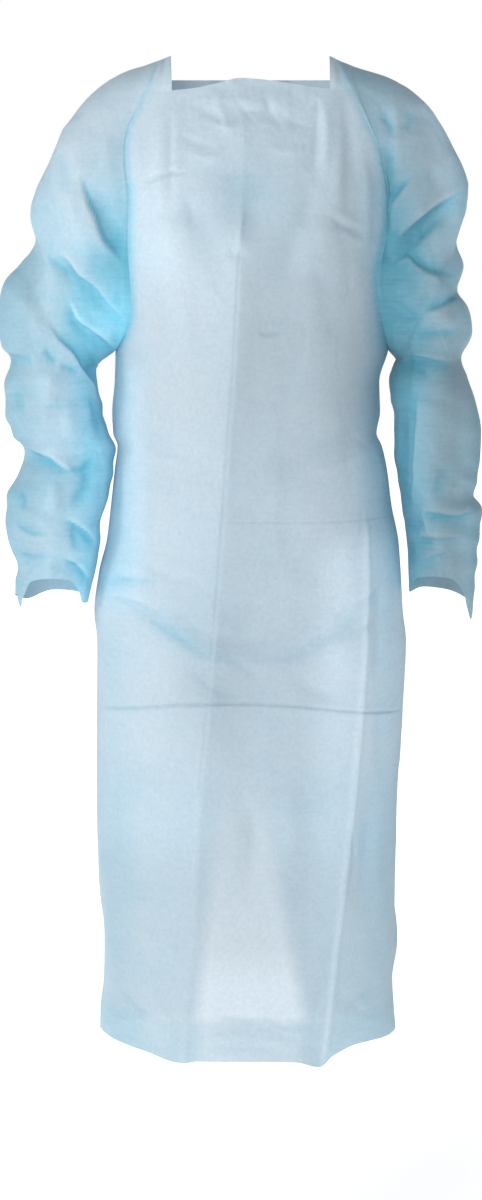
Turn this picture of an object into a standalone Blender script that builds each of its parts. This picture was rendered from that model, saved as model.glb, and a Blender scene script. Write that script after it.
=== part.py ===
"""Sleeved apron of thin non-woven cloth, in its worn form, hollow and open at neck, hem, cuffs and back lap.

Frame: origin midway between the two shoulder straps at the top of the shoulders, +Z up, the front faces -Y,
+X is the viewer's right when looking at the front. Tables are in millimetres; a row is a section or a fold.
Every panel is a sheet worked out from its sections, then given the thickness of the wall on its inner side.
"""

import math

import bmesh
import bpy
import numpy as np
from mathutils.bvhtree import BVHTree

MM = 0.001
WALL = 1.2  # thickness of the cloth walls
SEAM_GAP = 0.45  # half of the gap that is left at each seam
HEM_Z = -1145.0
UNDERARM_Z = -334.0
NECK_ROW_Z = -38.0  # where the straps leave the front panel
BACK_ROW_Z = -26.0  # where the straps leave the back panels
STRAP_TOP = (1.5, -5.0)  # height of the shoulder seam at the neck and at the armhole
STRAP_NECK_X = 90.0
LAP = 45.0  # how far each back panel passes the centre back
LAP_LIFT = 3.2  # how far the outer back panel stands off the inner one
LAP_EASE = 38.0  # width over which it lifts
TIE_LIFT = 2.4  # outer face of a tie above the cloth that it lies on
END_LIFT = 4.6  # the same for the hanging ends
TIES = (
    # name, edge, height, x of its root, x where it enters the knot, width at the root, width at the knot
    ("waist_tie_left", -1, -440.0, 146.0, 18.0, 27.0, 13.0),
    ("waist_tie_right", 1, -440.0, 144.0, 18.0, 27.0, 13.0),
    ("neck_tie_left", -1, -58.0, 72.0, 13.0, 18.0, 9.0),
    ("neck_tie_right", 1, -58.0, 74.0, 13.0, 18.0, 9.0),
)
TIE_ENDS = (
    # name, edge, x and height at the knot, hanging length, splay, width at the knot, width at the end
    ("waist_end_left", -1, 8.0, -458.5, 186.0, 40.0, 12.0, 27.0),
    ("waist_end_right", 1, 8.0, -458.5, 208.0, 26.0, 12.0, 27.0),
    ("neck_end_left", -1, 5.5, -72.0, 112.0, 24.0, 8.0, 18.0),
    ("neck_end_right", 1, 5.5, -72.0, 126.0, 18.0, 8.0, 18.0),
)
KNOTS = (
    # name, height, size along x, y and z
    ("waist_knot", -445.0, (34.0, 17.0, 24.0)),
    ("neck_knot", -62.0, (24.0, 12.0, 17.0)),
)

# Sections of the body. half_l, half_r: half widths left and right of the centre; side, front, back: depths (y) of the
# side seam, of the middle of the front and of the middle of the back; round: power of the rounded section.
BODY = (
    # z, half_l, half_r, side, front, back, round
    (0.0, 150, 150, 0, -58, 60, 2.2),
    (-20.0, 160, 162, 0, -70, 68, 2.2),
    (-38.0, 170, 172, 0, -78, 76, 2.25),
    (-70.0, 177, 182, 0, -90, 90, 2.3),
    (-110.0, 181, 188, 2, -104, 102, 2.3),
    (-160.0, 180, 190, 3, -117, 108, 2.3),
    (-210.0, 176, 184, 4, -122, 106, 2.3),
    (-262.0, 168, 174, 5, -119, 100, 2.3),
    (-300.0, 160, 164, 5, -114, 96, 2.3),
    (-334.0, 155, 159, 5, -110, 92, 2.3),
    (-371.0, 156, 149, 5, -105, 88, 2.3),
    (-405.0, 159, 150, 4, -101, 85, 2.3),
    (-430.0, 158, 146, 3, -98, 84, 2.3),
    (-444.0, 153, 152, 3, -97, 84, 2.3),
    (-470.0, 156, 158, 4, -100, 90, 2.3),
    (-514.0, 161, 164, 7, -106, 104, 2.3),
    (-554.0, 166, 172, 10, -112, 118, 2.3),
    (-590.0, 175, 175, 12, -117, 126, 2.3),
    (-638.0, 181, 178, 15, -120, 130, 2.3),
    (-674.0, 178, 182, 18, -121, 130, 2.25),
    (-744.0, 179, 179, 24, -122, 126, 2.2),
    (-863.0, 180, 173, 32, -122, 122, 2.1),
    (-958.0, 178, 171, 38, -121, 121, 2.05),
    (-1030.0, 172, 171, 42, -120, 121, 2.0),
    (-1078.0, 173, 169, 44, -120, 122, 2.0),
    (-1115.0, 177, 171, 44, -120, 123, 2.0),
    (-1160.0, 178, 174, 44, -120, 124, 2.0),
)
# Armhole seams: x of the front seam left and right, and of the back seam left and right.
ARMHOLE = (
    # z, front_l, front_r, back_l, back_r
    (0.0, -106, 103, -106, 103),
    (-7.0, -107, 104, -107, 104),
    (-14.0, -109, 106, -112, 110),
    (-27.0, -114, 110, -121, 119),
    (-43.0, -121, 116, -128, 128),
    (-59.0, -127, 124, -134, 136),
    (-82.0, -138, 135, -141, 145),
    (-108.0, -141, 147, -146, 152),
    (-160.0, -137, 156, -150, 158),
    (-206.0, -138, 150, -151, 157),
    (-246.0, -136, 142, -150, 153),
    (-285.0, -134, 147, -149, 152),
    (-310.0, -140, 152, -150, 154),
    (-325.0, -148, 156, -152, 156),
    (-334.0, -155, 159, -155, 159),
)
# Neckline of the front panel, and the hem, both across the panel.
NECKLINE = (
    # x, z
    (-88.0, -38),
    (-62.0, -35),
    (-40.0, -30),
    (-12.0, -24),
    (8.0, -25),
    (40.0, -29),
    (70.0, -34),
    (90.0, -36),
)
HEM = (
    # x, z
    (-178.0, -1136),
    (-123.0, -1140),
    (-80.0, -1148),
    (-57.0, -1144),
    (0.0, -1143),
    (52.0, -1145),
    (80.0, -1153),
    (96.0, -1140),
    (126.0, -1133),
    (174.0, -1138),
)
# Where the pressed folds run down the front panel: each column of the panel's mesh keeps to one.
PLEATS = (
    # z, strap_l, fold_a, fold_b
    (-38.0, -88, -6, 90),
    (-130.0, -90, -8, 97),
    (-200.0, -92, -12, 104),
    (-334.0, -98, -20, 116),
    (-440.0, -103, -26, 124),
    (-520.0, -108, -31, 130),
    (-640.0, -116, -39, 130),
    (-744.0, -122, -47, 124),
    (-863.0, -126, -58, 115),
    (-970.0, -126, -66, 104),
    (-1060.0, -126, -73, 93),
    (-1145.0, -126, -80, 81),
)
FRONT_STEPS = (3, 5, 7, 3)  # faces between the left edge, strap_l, fold_a, fold_b and the right edge
ARMHOLE_LEVELS = (-38, -68, -106, -150, -200, -250, -290, -318, -334)
SKIRT_LEVELS = (-368, -404, -440, -482, -530, -582, -640, -705, -775, -850, -925, -1000, -1060, -1104, -1145)
LEVELS = ARMHOLE_LEVELS + SKIRT_LEVELS
BACK_STEPS = (7, 1, 1, 1)  # faces from the side to the eased part, across it, and twice across half of the lap
BACK_STRAP_STEPS = 2
STRAP_STEPS = 3

# Folds of the body: a soft ridge (height above 0) or trough (below 0) along a line in the front or back view.
BODY_FOLDS = (
    # side, x0, z0, x1, z1, half_width, height
    ("front", -8, -110, -80, -1145, 55, 5.0),
    ("front", 130, -500, 81, -1145, 45, 4.5),
    ("front", 86, -44, 100, -150, 22, 5.0),
    ("front", 106, -60, 112, -170, 14, -4.0),
    ("front", -90, -44, -92, -170, 24, 2.5),
    ("front", -104, -640, 0, -672, 40, 3.0),
    ("front", 0, -672, 105, -640, 40, 3.0),
    ("front", -118, -820, -118, -1120, 60, 5.0),
    ("front", 10, -860, 0, -1130, 70, -7.0),
    ("front", -120, -450, -30, -470, 34, -3.5),
    ("front", 130, -436, 40, -466, 34, -4.0),
    ("back", -60, -90, -80, -330, 55, 4.0),
    ("back", 70, -90, 85, -330, 55, 4.0),
    ("back", -120, -456, -70, -600, 40, -5.0),
    ("back", 120, -456, 66, -600, 40, -5.0),
    ("back", -105, -640, -118, -1130, 60, 6.0),
    ("back", 98, -640, 112, -1130, 60, 6.0),
    ("back", -10, -700, 4, -1130, 60, -7.0),
)

# Sections of the sleeves, from the armhole to the cuff. The outer point runs down the shoulder and the outer side of
# the arm, the inner point stays at the underarm until the arm hangs free, and y is the middle of the section.
SLEEVE_LEFT = (
    # outer_x, outer_z, inner_x, inner_z, y, front, back, round, join
    (-122, -13, -158, -338, 4, 84, 84, 2.2, 0.30),
    (-150, -19, -162, -341, 3, 82, 82, 2.2, 0.58),
    (-175, -33, -166, -344, 2, 80, 80, 2.2, 0.80),
    (-201, -60, -169, -346, 1, 77, 78, 2.2, 0.93),
    (-217, -88, -171, -348, 1, 74, 75, 2.2, 1.0),
    (-230, -119, -173, -349, 0, 71, 72, 2.2, 1.0),
    (-245, -150, -174, -350, 0, 70, 70, 2.2, 1.0),
    (-252, -178, -175, -351, 0, 67, 68, 2.2, 1.0),
    (-246, -207, -175, -352, 0, 60, 62, 2.2, 1.0),
    (-262, -234, -175, -353, 0, 63, 64, 2.2, 1.0),
    (-283, -260, -176, -354, -1, 69, 68, 2.2, 1.0),
    (-289, -296, -177, -357, -2, 70, 68, 2.2, 1.0),
    (-287, -326, -177, -363, -3, 65, 65, 2.2, 1.0),
    (-276, -345, -176, -371, -4, 57, 58, 2.1, 1.0),
    (-283, -374, -173, -386, -5, 62, 62, 2.2, 1.0),
    (-281, -406, -169, -407, -6, 63, 62, 2.2, 1.0),
    (-272, -432, -164, -427, -7, 58, 58, 2.2, 1.0),
    (-259, -451, -160, -447, -8, 50, 51, 2.1, 1.0),
    (-268, -476, -161, -470, -10, 56, 54, 2.2, 1.0),
    (-281, -502, -165, -500, -12, 61, 57, 2.2, 1.0),
    (-282, -530, -172, -532, -14, 59, 55, 2.2, 1.0),
    (-275, -559, -174, -560, -15, 52, 50, 2.2, 1.0),
    (-267, -579, -178, -577, -16, 45, 45, 2.1, 1.0),
    (-271, -592, -183, -589, -17, 45, 45, 2.1, 1.0),
    (-270, -604, -187, -602, -17, 43, 44, 2.1, 1.0),
)
SLEEVE_RIGHT = (
    # outer_x, outer_z, inner_x, inner_z, y, front, back, round, join
    (118, -14, 162, -338, 4, 84, 84, 2.2, 0.30),
    (142, -20, 165, -341, 3, 82, 82, 2.2, 0.58),
    (170, -27, 167, -343, 2, 80, 80, 2.2, 0.80),
    (193, -43, 168, -345, 1, 77, 78, 2.2, 0.93),
    (213, -69, 169, -346, 1, 74, 75, 2.2, 1.0),
    (232, -102, 169, -347, 0, 72, 73, 2.2, 1.0),
    (250, -142, 169, -348, 0, 70, 71, 2.2, 1.0),
    (247, -172, 168, -349, 0, 65, 67, 2.2, 1.0),
    (237, -210, 167, -350, 0, 55, 61, 2.2, 1.0),
    (245, -238, 166, -351, 0, 60, 63, 2.2, 1.0),
    (239, -264, 165, -352, 0, 58, 60, 2.2, 1.0),
    (251, -284, 164, -354, -1, 63, 64, 2.2, 1.0),
    (255, -312, 163, -357, -2, 63, 64, 2.2, 1.0),
    (243, -342, 161, -364, -4, 54, 56, 2.1, 1.0),
    (250, -366, 160, -376, -5, 58, 60, 2.2, 1.0),
    (259, -394, 163, -394, -6, 61, 62, 2.2, 1.0),
    (266, -427, 166, -420, -7, 61, 61, 2.2, 1.0),
    (265, -456, 166, -447, -8, 60, 58, 2.2, 1.0),
    (262, -484, 170, -480, -10, 58, 56, 2.2, 1.0),
    (259, -500, 173, -500, -11, 53, 53, 2.2, 1.0),
    (268, -516, 175, -518, -12, 55, 54, 2.2, 1.0),
    (265, -541, 179, -543, -14, 51, 51, 2.2, 1.0),
    (261, -566, 182, -566, -15, 46, 47, 2.1, 1.0),
    (259, -586, 183, -584, -16, 44, 45, 2.1, 1.0),
    (258, -604, 184, -600, -17, 43, 44, 2.1, 1.0),
)
# How far the edge of each cuff rises or hangs, round the cuff (0 outer, 90 front, 180 inner, 270 back).
CUFF_LEFT = ((0, -12), (30, -24), (60, 8), (90, 11), (120, 8), (150, -20), (180, -22), (225, -14), (270, -12), (315, -20), (360, -12))
CUFF_RIGHT = ((0, -22), (25, -38), (50, -8), (75, 10), (100, 12), (140, 8), (170, -8), (200, -14), (240, -10), (280, -12), (320, -18), (360, -22))
SLEEVE_FOLDS = (
    # sleeve, x0, z0, x1, z1, half_width, height
    ("left", -193, -140, -140, -246, 20, -7.0),
    ("left", -240, -172, -205, -250, 22, -5.0),
    ("left", -222, -300, -168, -344, 18, 6.0),
    ("left", -215, -340, -176, -372, 16, -7.0),
    ("left", -262, -452, -205, -486, 16, -6.0),
    ("left", -215, -548, -176, -560, 22, -6.0),
    ("right", 160, -226, 226, -180, 18, -9.0),
    ("right", 150, -246, 186, -232, 18, 6.0),
    ("right", 206, -296, 244, -276, 14, -5.0),
    ("right", 190, -318, 226, -320, 14, -5.0),
    ("right", 190, -400, 176, -500, 20, -8.0),
    ("right", 205, -530, 250, -526, 12, -5.0),
)
CLOTH = (0.52, 0.70, 0.80, 1.0)
CLOTH_ROUGHNESS = 0.72


def column(table, index, at):
    """Value of one column of a table at the height (or width) at, on a smooth curve that never overshoots."""
    xs = np.array([row[0] for row in table], float)
    ys = np.array([row[index] for row in table], float)
    if xs[0] > xs[-1]:
        xs, ys = xs[::-1], ys[::-1]
    at = min(max(float(at), xs[0]), xs[-1])
    widths = np.diff(xs)
    slopes = np.diff(ys) / widths
    k = min(int(np.searchsorted(xs, at, side="right")) - 1, len(widths) - 1)

    def tangent(i):
        if i == 0:
            return slopes[0]
        if i == len(widths):
            return slopes[-1]
        a, b = slopes[i - 1], slopes[i]
        return 0.0 if a * b <= 0 else 2 * a * b / (a + b)

    t = (at - xs[k]) / widths[k]
    h = widths[k]
    return (
        ys[k] * (1 + 2 * t) * (1 - t) ** 2
        + tangent(k) * h * t * (1 - t) ** 2
        + ys[k + 1] * t * t * (3 - 2 * t)
        + tangent(k + 1) * h * t * t * (t - 1)
    )


def ease(t):
    t = min(max(t, 0.0), 1.0)
    return t * t * (3 - 2 * t)


def power(value, exponent):
    return math.copysign(abs(value) ** exponent, value)


def fold_height(folds, kind, x, z):
    """Sum of the fold profiles at a point of the front or back view."""
    total = 0.0
    for name, x0, z0, x1, z1, half, height in folds:
        if name != kind:
            continue
        along = np.array((x1 - x0, z1 - z0), float)
        length = np.linalg.norm(along)
        along /= length
        off = np.array((x - x0, z - z0))
        s = float(off @ along)
        d = float(off[0] * along[1] - off[1] * along[0])
        reach = ease(s / (0.18 * length) + 0.5) * ease((length - s) / (0.18 * length) + 0.5)
        total += height * reach * math.exp(-((d / half) ** 2) * 2)
    return total


def half_width(z, x_sign):
    return column(BODY, 1 if x_sign < 0 else 2, z)


def turn_of(x, z):
    """Turn round the body, from 0 at the middle of the front or back to 90 degrees at the side, of the point at x."""
    ratio = min(abs(x) / half_width(z, x), 1.0)
    return math.copysign(math.degrees(math.asin(ratio ** (column(BODY, 6, z) / 2))), x)


def body_point(turn, z, side, lift=0.0):
    """Point of the body's section at height z. side is front or back, and lift is a distance outwards."""
    n = 2 / column(BODY, 6, z)
    a = math.radians(turn)
    x = half_width(z, turn) * power(math.sin(a), n)
    y_side, y_mid = column(BODY, 3, z), column(BODY, 4 if side == "front" else 5, z)
    y = y_side + (y_mid - y_side) * abs(math.cos(a)) ** n
    fade = ease(abs(math.cos(a)) * 2.2)
    lift += fade * fold_height(BODY_FOLDS, side, x, z)
    out = np.array((math.sin(a) / abs(half_width(z, turn)), math.cos(a) / (y_mid - y_side)))
    out /= np.linalg.norm(out)
    return np.array((x + out[0] * lift, y + out[1] * lift, z))


def side_limit(z, edge, side):
    """Turn at which a panel ends: on the armhole above the underarm, on the side seam below it."""
    if z <= UNDERARM_Z:
        return math.copysign(90.0, edge)
    index = {("front", -1): 1, ("front", 1): 2, ("back", -1): 3, ("back", 1): 4}[side, edge]
    return turn_of(column(ARMHOLE, index, z), z)


def keep_gap(turn, z, edge):
    """The same limit, drawn back by the seam gap."""
    return turn - edge * math.degrees(SEAM_GAP / (0.5 * (half_width(z, edge) + 110)))


def strap_rise(start, t, top_y, top_z):
    """Quarter of an oval from the start of a strap up to the shoulder seam."""
    a = t * math.pi / 2
    return np.array((start[0], top_y + (start[1] - top_y) * math.cos(a), start[2] + (top_z - start[2]) * math.sin(a)))


def front_grid():
    """Rows of points of the front panel; the first rows hold only the two straps."""
    rows = []
    for number, level in enumerate(LEVELS):
        row = []
        stations = [column(PLEATS, k, level) for k in (1, 2, 3)]
        turns = [turn_of(x, level) for x in stations]
        edges = [keep_gap(side_limit(level, e, "front"), level, e) for e in (-1, 1)]
        knots = [edges[0], *turns, edges[1]]
        for k, steps in enumerate(FRONT_STEPS):
            for i in range(steps):
                row.append(knots[k] + (knots[k + 1] - knots[k]) * i / steps)
        row.append(knots[-1])
        points = []
        for turn in row:
            at = body_point(turn, level, "front")
            z = level
            if number < 2:
                top = column(NECKLINE, 1, at[0])
                z += (top - NECK_ROW_Z) * (1 - number / 2)
            if number > len(LEVELS) - 4:
                z += (column(HEM, 1, at[0]) - HEM_Z) * (number - len(LEVELS) + 4) / 3
            points.append(body_point(turn, z, "front"))
        rows.append(points)
    return rows


def top_x(z_edge, edge, side):
    """x of the armhole edge of a strap at height z."""
    index = {("front", -1): 1, ("front", 1): 2, ("back", -1): 3, ("back", 1): 4}[side, edge]
    return column(ARMHOLE, index, z_edge) - edge * SEAM_GAP


def strap_rows(row, columns, edge, side):
    """Rows of one strap from the panel's first row to the shoulder seam. Its armhole edge follows the armhole."""
    made = []
    for k in range(1, STRAP_STEPS + 1):
        t = k / STRAP_STEPS
        points = []
        for number, c in enumerate(columns):
            start = row[c]
            share = number / (len(columns) - 1)  # 0 at the armhole edge, 1 at the neck
            top = STRAP_TOP[1] + (STRAP_TOP[0] - STRAP_TOP[1]) * share
            p = strap_rise(start, t, -SEAM_GAP if side == "front" else SEAM_GAP, top)
            outer = top_x(p[2], edge, side)
            inner = row[columns[-1]][0]
            inner += (edge * STRAP_NECK_X - inner) * ease(t)
            x = outer + (inner - outer) * share
            points.append(np.array((x, p[1], p[2])))
        made.append(points)
    return made


def back_grid(edge):
    """Rows of one back panel, from the side to past the centre back. The right one (edge 1) lies outside."""
    rows = []
    levels = (BACK_ROW_Z,) + LEVELS[1:]
    for number, level in enumerate(levels):
        limit = keep_gap(side_limit(level, edge, "back"), level, edge)
        knots = [limit, *(edge * turn_of(x, level) for x in (LAP + LAP_EASE, LAP, 0.0, -LAP))]
        turns = []
        for k, steps in enumerate(BACK_STEPS):
            turns += [knots[k] + (knots[k + 1] - knots[k]) * i / steps for i in range(steps)]
        points = []
        for turn in (*turns, knots[-1]):
            z = level
            if number > len(levels) - 4:
                z += (-1143.0 - HEM_Z) * (number - len(levels) + 4) / 3
            lift = 0.0
            if edge > 0:
                x = body_point(turn, z, "back")[0]
                lift = LAP_LIFT * ease((LAP + LAP_EASE - x) / (LAP_EASE - 2))
            if edge > 0 and -1085 < z < -985:
                lift += 5.0 * math.sin(math.pi * (z + 1085) / 100) * ease((abs(turn) - 62) / 20)
            points.append(body_point(turn, z, "back", lift))
        rows.append(points)
    return rows


def seam_rim(edge, front, front_strap, back, back_strap):
    """The armhole as a loop of points just outside the edges of the panels: shoulder, front, underarm, back."""
    last = len(ARMHOLE_LEVELS) - 1
    side, step = (0, 1) if edge < 0 else (len(front[0]) - 1, -1)

    def outside(p, inner):
        away = p - inner
        return p + away / np.linalg.norm(away) * 2 * SEAM_GAP

    top = (outside(front_strap[-1][0], front_strap[-1][1]) + outside(back_strap[-1][0], back_strap[-1][1])) / 2
    under = (front[last][side] + back[last][0]) / 2 + np.array((edge * 2.2 * SEAM_GAP, 0.0, 0.0))
    down = [outside(row[0], row[1]) for row in reversed(front_strap[:-1])]
    down += [outside(front[k][side], front[k][side + step]) for k in range(last)]
    up = [outside(back[k][0], back[k][1]) for k in reversed(range(last))]
    up += [outside(row[0], row[1]) for row in back_strap[:-1]]
    return [top, *down, under, *up]


def sleeve_grid(edge, rim):
    """Loops of one sleeve, from the armhole to the cuff."""
    table = SLEEVE_LEFT if edge < 0 else SLEEVE_RIGHT
    cuff = CUFF_LEFT if edge < 0 else CUFF_RIGHT
    name = "left" if edge < 0 else "right"
    top, under = rim[0][2], rim[len(rim) // 2][2]
    even = [2 * math.pi * k / len(rim) for k in range(len(rim))]
    own = []
    for k, p in enumerate(rim):
        a = math.acos(min(max(2 * (p[2] - under) / (top - under) - 1, -1.0), 1.0))
        own.append(a if k <= len(rim) // 2 else 2 * math.pi - a)
    rows = [rim, [p + leave(edge, a) for p, a in zip(rim, own)]]
    for number, (ox, oz, ix, iz, y, front, back, rounding, join) in enumerate(table):
        middle = np.array(((ox + ix) / 2, y, (oz + iz) / 2))
        reach = np.array(((ox - ix) / 2, 0, (oz - iz) / 2))
        share = ease(number / 12)
        loop = []
        for u, v, p in zip(own, even, rows[1]):
            a = u + (v - u) * share
            n = 2 / rounding
            c, s = power(math.cos(a), n), power(math.sin(a), n)
            q = middle + reach * c
            q[1] -= s * (front if s > 0 else back)
            if s > 0:
                lift = fold_height(SLEEVE_FOLDS, name, q[0], q[2]) * ease(s * 2)
                q[1] -= lift * s
                q[0] += lift * c * edge * 0.6
            low = number - len(table) + 4
            if low > 0:
                q[2] += column(cuff, 1, math.degrees(a)) * low / 3
            loop.append(p + (q - p) * join)
        rows.append(loop)
    return rows


def leave(edge, a):
    """How a sleeve leaves the armhole: sideways, a little forwards or backwards, and downwards at the underarm."""
    c, s = math.cos(a), math.sin(a)
    low = (1 - c) / 2
    way = np.array((edge * (1.0 - 0.4 * low**4), -0.25 * s, -0.25 * c * (c > 0) - 0.85 * low**4))
    return way / np.linalg.norm(way) * (6.0 - 2.0 * low**4)


def ribbon(route, cloth, lift):
    """Pairs of points across a tie. Each lies on the cloth below the route (x, z, width), moved out by lift."""
    points = np.array([(x, z) for x, z, _ in route])
    rows = []
    for k, p in enumerate(points):
        way = points[min(k + 1, len(points) - 1)] - points[max(k - 1, 0)]
        way /= np.linalg.norm(way)
        across = np.array((way[1], -way[0])) * route[k][2] / 2
        row = []
        for x, z in (p - across, p + across):
            face, normal, _, _ = cloth.ray_cast((x, 400.0, z), (0.0, -1.0, 0.0))
            outwards = np.array(normal) * math.copysign(1.0, normal[1])
            more = 1.2 * ease((abs(x) - 100.0) / 30.0)
            if x < 1 - LAP:  # past the edge of the outer back panel
                more += LAP_LIFT * ease((x + LAP + 30.0) / 26.0)
            row.append(np.array(face) + outwards * (lift + more))
        rows.append(row)
    return rows


def band_route(edge, z, x_root, x_knot, width, narrow):
    """A tie in the back view, from its root to the knot, where it is drawn together."""
    route = []
    for k in range(13):
        x = x_root + (x_knot - x_root) * (k / 12) ** 1.4
        route.append((edge * x, z - 4.0 * ease((40.0 - x) / 30.0), narrow + (width - narrow) * ease((x - x_knot) / 34.0)))
    return route


def end_route(edge, x, z, drop, splay, narrow, width):
    """A hanging end in the back view, from the knot down."""
    route = []
    for k in range(11):
        t = k / 10
        route.append((edge * (x + splay * t**0.8), z - drop * t, narrow + (width - narrow) * ease(t * 4.5)))
    return route


def cloth_tree(rows, *strips):
    """Tree of the outer faces of the back panels, for what lies on them."""
    points, faces = [], []
    for grid in (rows, *strips):
        for k, row in enumerate(grid):
            for n, p in enumerate(row):
                points.append(tuple(p))
                if k and n:
                    here, width = len(points) - 1, len(row)
                    faces.append((here, here - 1, here - 1 - width, here - width))
    return BVHTree.FromPolygons(points, faces)


def material(name, shade):
    made = bpy.data.materials.new(name)
    made.use_nodes = True
    shader = made.node_tree.nodes["Principled BSDF"]
    shader.inputs["Base Color"].default_value = tuple(min(1.0, c * shade) for c in CLOTH[:3]) + (1.0,)
    shader.inputs["Roughness"].default_value = CLOTH_ROUGHNESS
    shader.inputs["Metallic"].default_value = 0.0
    return made


def add_object(name, mesh, shade=1.0, wall=True):
    item = bpy.data.objects.new(name, mesh)
    bpy.context.collection.objects.link(item)
    mesh.materials.append(material(name + "_cloth", shade))
    for face in mesh.polygons:
        face.use_smooth = True
    if wall:
        shell = item.modifiers.new("wall", "SOLIDIFY")
        shell.thickness = WALL * MM
        shell.offset = -1.0
        shell.use_even_offset = False
    return item


def sheet_mesh(name, rows, closed=False, flip=False, extra=()):
    """Mesh of quads between rows of points. extra holds strips that grow from the first row: (columns, rows)."""
    work = bmesh.new()
    grid = [[work.verts.new(np.asarray(p) * MM) for p in row] for row in rows]

    def face(a, b, c, d):
        work.faces.new((a, b, c, d)[::-1] if flip else (a, b, c, d))

    for upper, lower in zip(grid, grid[1:]):
        count = len(upper)
        for k in range(count if closed else count - 1):
            n = (k + 1) % count
            face(upper[k], lower[k], lower[n], upper[n])
    for columns, strips in extra:
        below = [grid[0][c] for c in columns]
        swap = columns[0] > columns[-1]
        for strip in strips:
            above = [work.verts.new(np.asarray(p) * MM) for p in strip]
            for k in range(len(columns) - 1):
                quad = (above[k], below[k], below[k + 1], above[k + 1])
                face(*(quad[::-1] if swap else quad))
            below = above
    work.normal_update()
    mesh = bpy.data.meshes.new(name)
    work.to_mesh(mesh)
    work.free()
    return mesh


def knot_mesh(name, centre, size):
    """A soft lump with a waist, as a plain knot of a flat tie."""
    work = bmesh.new()
    bmesh.ops.create_uvsphere(work, u_segments=12, v_segments=8, radius=0.5 * MM)
    for v in work.verts:
        x, y, z = (c / MM for c in v.co)
        pinch = 1 - 0.22 * math.exp(-((x / 0.18) ** 2))
        v.co = (
            (centre[0] + x * size[0]) * MM,
            (centre[1] + y * size[1]) * MM,
            (centre[2] + z * size[2] * pinch) * MM,
        )
    mesh = bpy.data.meshes.new(name)
    work.to_mesh(mesh)
    work.free()
    return mesh


def build():
    for item in list(bpy.data.objects):
        bpy.data.objects.remove(item, do_unlink=True)

    front = front_grid()
    last = len(front[0]) - 1
    columns = {
        -1: list(range(0, FRONT_STEPS[0] + 1)),
        1: list(range(last, last - FRONT_STEPS[3] - 1, -1)),
    }
    straps = {edge: strap_rows(front[0], columns[edge], edge, "front") for edge in (-1, 1)}
    extra = [(columns[edge], straps[edge]) for edge in (-1, 1)]
    add_object("front_panel", sheet_mesh("front_panel", front, extra=extra))

    backs = {edge: back_grid(edge) for edge in (-1, 1)}
    for edge, name in ((-1, "left"), (1, "right")):
        back = backs[edge]
        across = list(range(0, BACK_STRAP_STEPS + 1))
        strap = strap_rows(back[0], across, edge, "back")
        panel = sheet_mesh("back_panel_" + name, back, flip=edge < 0, extra=((across, strap),))
        add_object("back_panel_" + name, panel, 0.97)
        rim = seam_rim(edge, front, straps[edge], back, strap)
        sleeve = sheet_mesh("sleeve_" + name, sleeve_grid(edge, rim), closed=True, flip=edge > 0)
        add_object("sleeve_" + name, sleeve, 0.95)

    cloth = cloth_tree(backs[1], backs[-1])
    for name, edge, *sizes in TIES:
        rows = ribbon(band_route(edge, *sizes), cloth, TIE_LIFT)
        add_object(name, sheet_mesh(name, rows, flip=edge < 0), 1.02)
    for name, edge, *sizes in TIE_ENDS:
        rows = ribbon(end_route(edge, *sizes), cloth, END_LIFT)
        add_object(name, sheet_mesh(name, rows, flip=True), 1.02)
    for name, z, size in KNOTS:
        y = cloth.ray_cast((0.0, 400.0, z), (0.0, -1.0, 0.0))[0][1] + 1.2 + size[1] / 2
        add_object(name, knot_mesh(name, (0.0, y, z), size), 1.0, wall=False)


build()
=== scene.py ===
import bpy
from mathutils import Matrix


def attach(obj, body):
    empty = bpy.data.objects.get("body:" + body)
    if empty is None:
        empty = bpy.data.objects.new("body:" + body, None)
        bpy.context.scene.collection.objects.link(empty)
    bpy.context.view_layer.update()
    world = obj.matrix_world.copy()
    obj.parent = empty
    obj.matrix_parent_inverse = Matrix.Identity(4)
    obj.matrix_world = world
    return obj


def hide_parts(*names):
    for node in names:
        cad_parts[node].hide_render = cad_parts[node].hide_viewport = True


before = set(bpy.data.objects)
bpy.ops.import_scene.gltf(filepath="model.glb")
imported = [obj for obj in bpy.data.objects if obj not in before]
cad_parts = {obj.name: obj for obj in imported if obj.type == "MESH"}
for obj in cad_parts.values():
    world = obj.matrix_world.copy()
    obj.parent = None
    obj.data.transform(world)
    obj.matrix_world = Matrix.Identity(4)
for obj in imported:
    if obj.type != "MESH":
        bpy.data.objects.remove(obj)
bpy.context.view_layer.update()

# Sleeved apron of thin film-backed non-woven cloth, in its worn form: two panels lapped at the back, a front panel with
# a square neckline, two bunched sleeves, and tied strips at the waist and the neck.
# Tables and lengths are in millimetres. x runs to the viewer's right, z up from the top of the shoulders, -y forwards.

import math

import bpy
import numpy as np
from mathutils import Vector, noise
from mathutils.bvhtree import BVHTree

MM = 0.001
HEM_Z = -1145.0
UNDERARM_Z = -334.0
NECK_ROW_Z = -38.0
BACK_ROW_Z = -26.0
STRAP_TOP = (1.5, -5.0)
STRAP_NECK_X = 90.0
LAP = 45.0
LAP_LIFT = 3.2
LAP_EASE = 38.0
TIE_LIFT = 1.6
END_LIFT = 3.2

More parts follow.
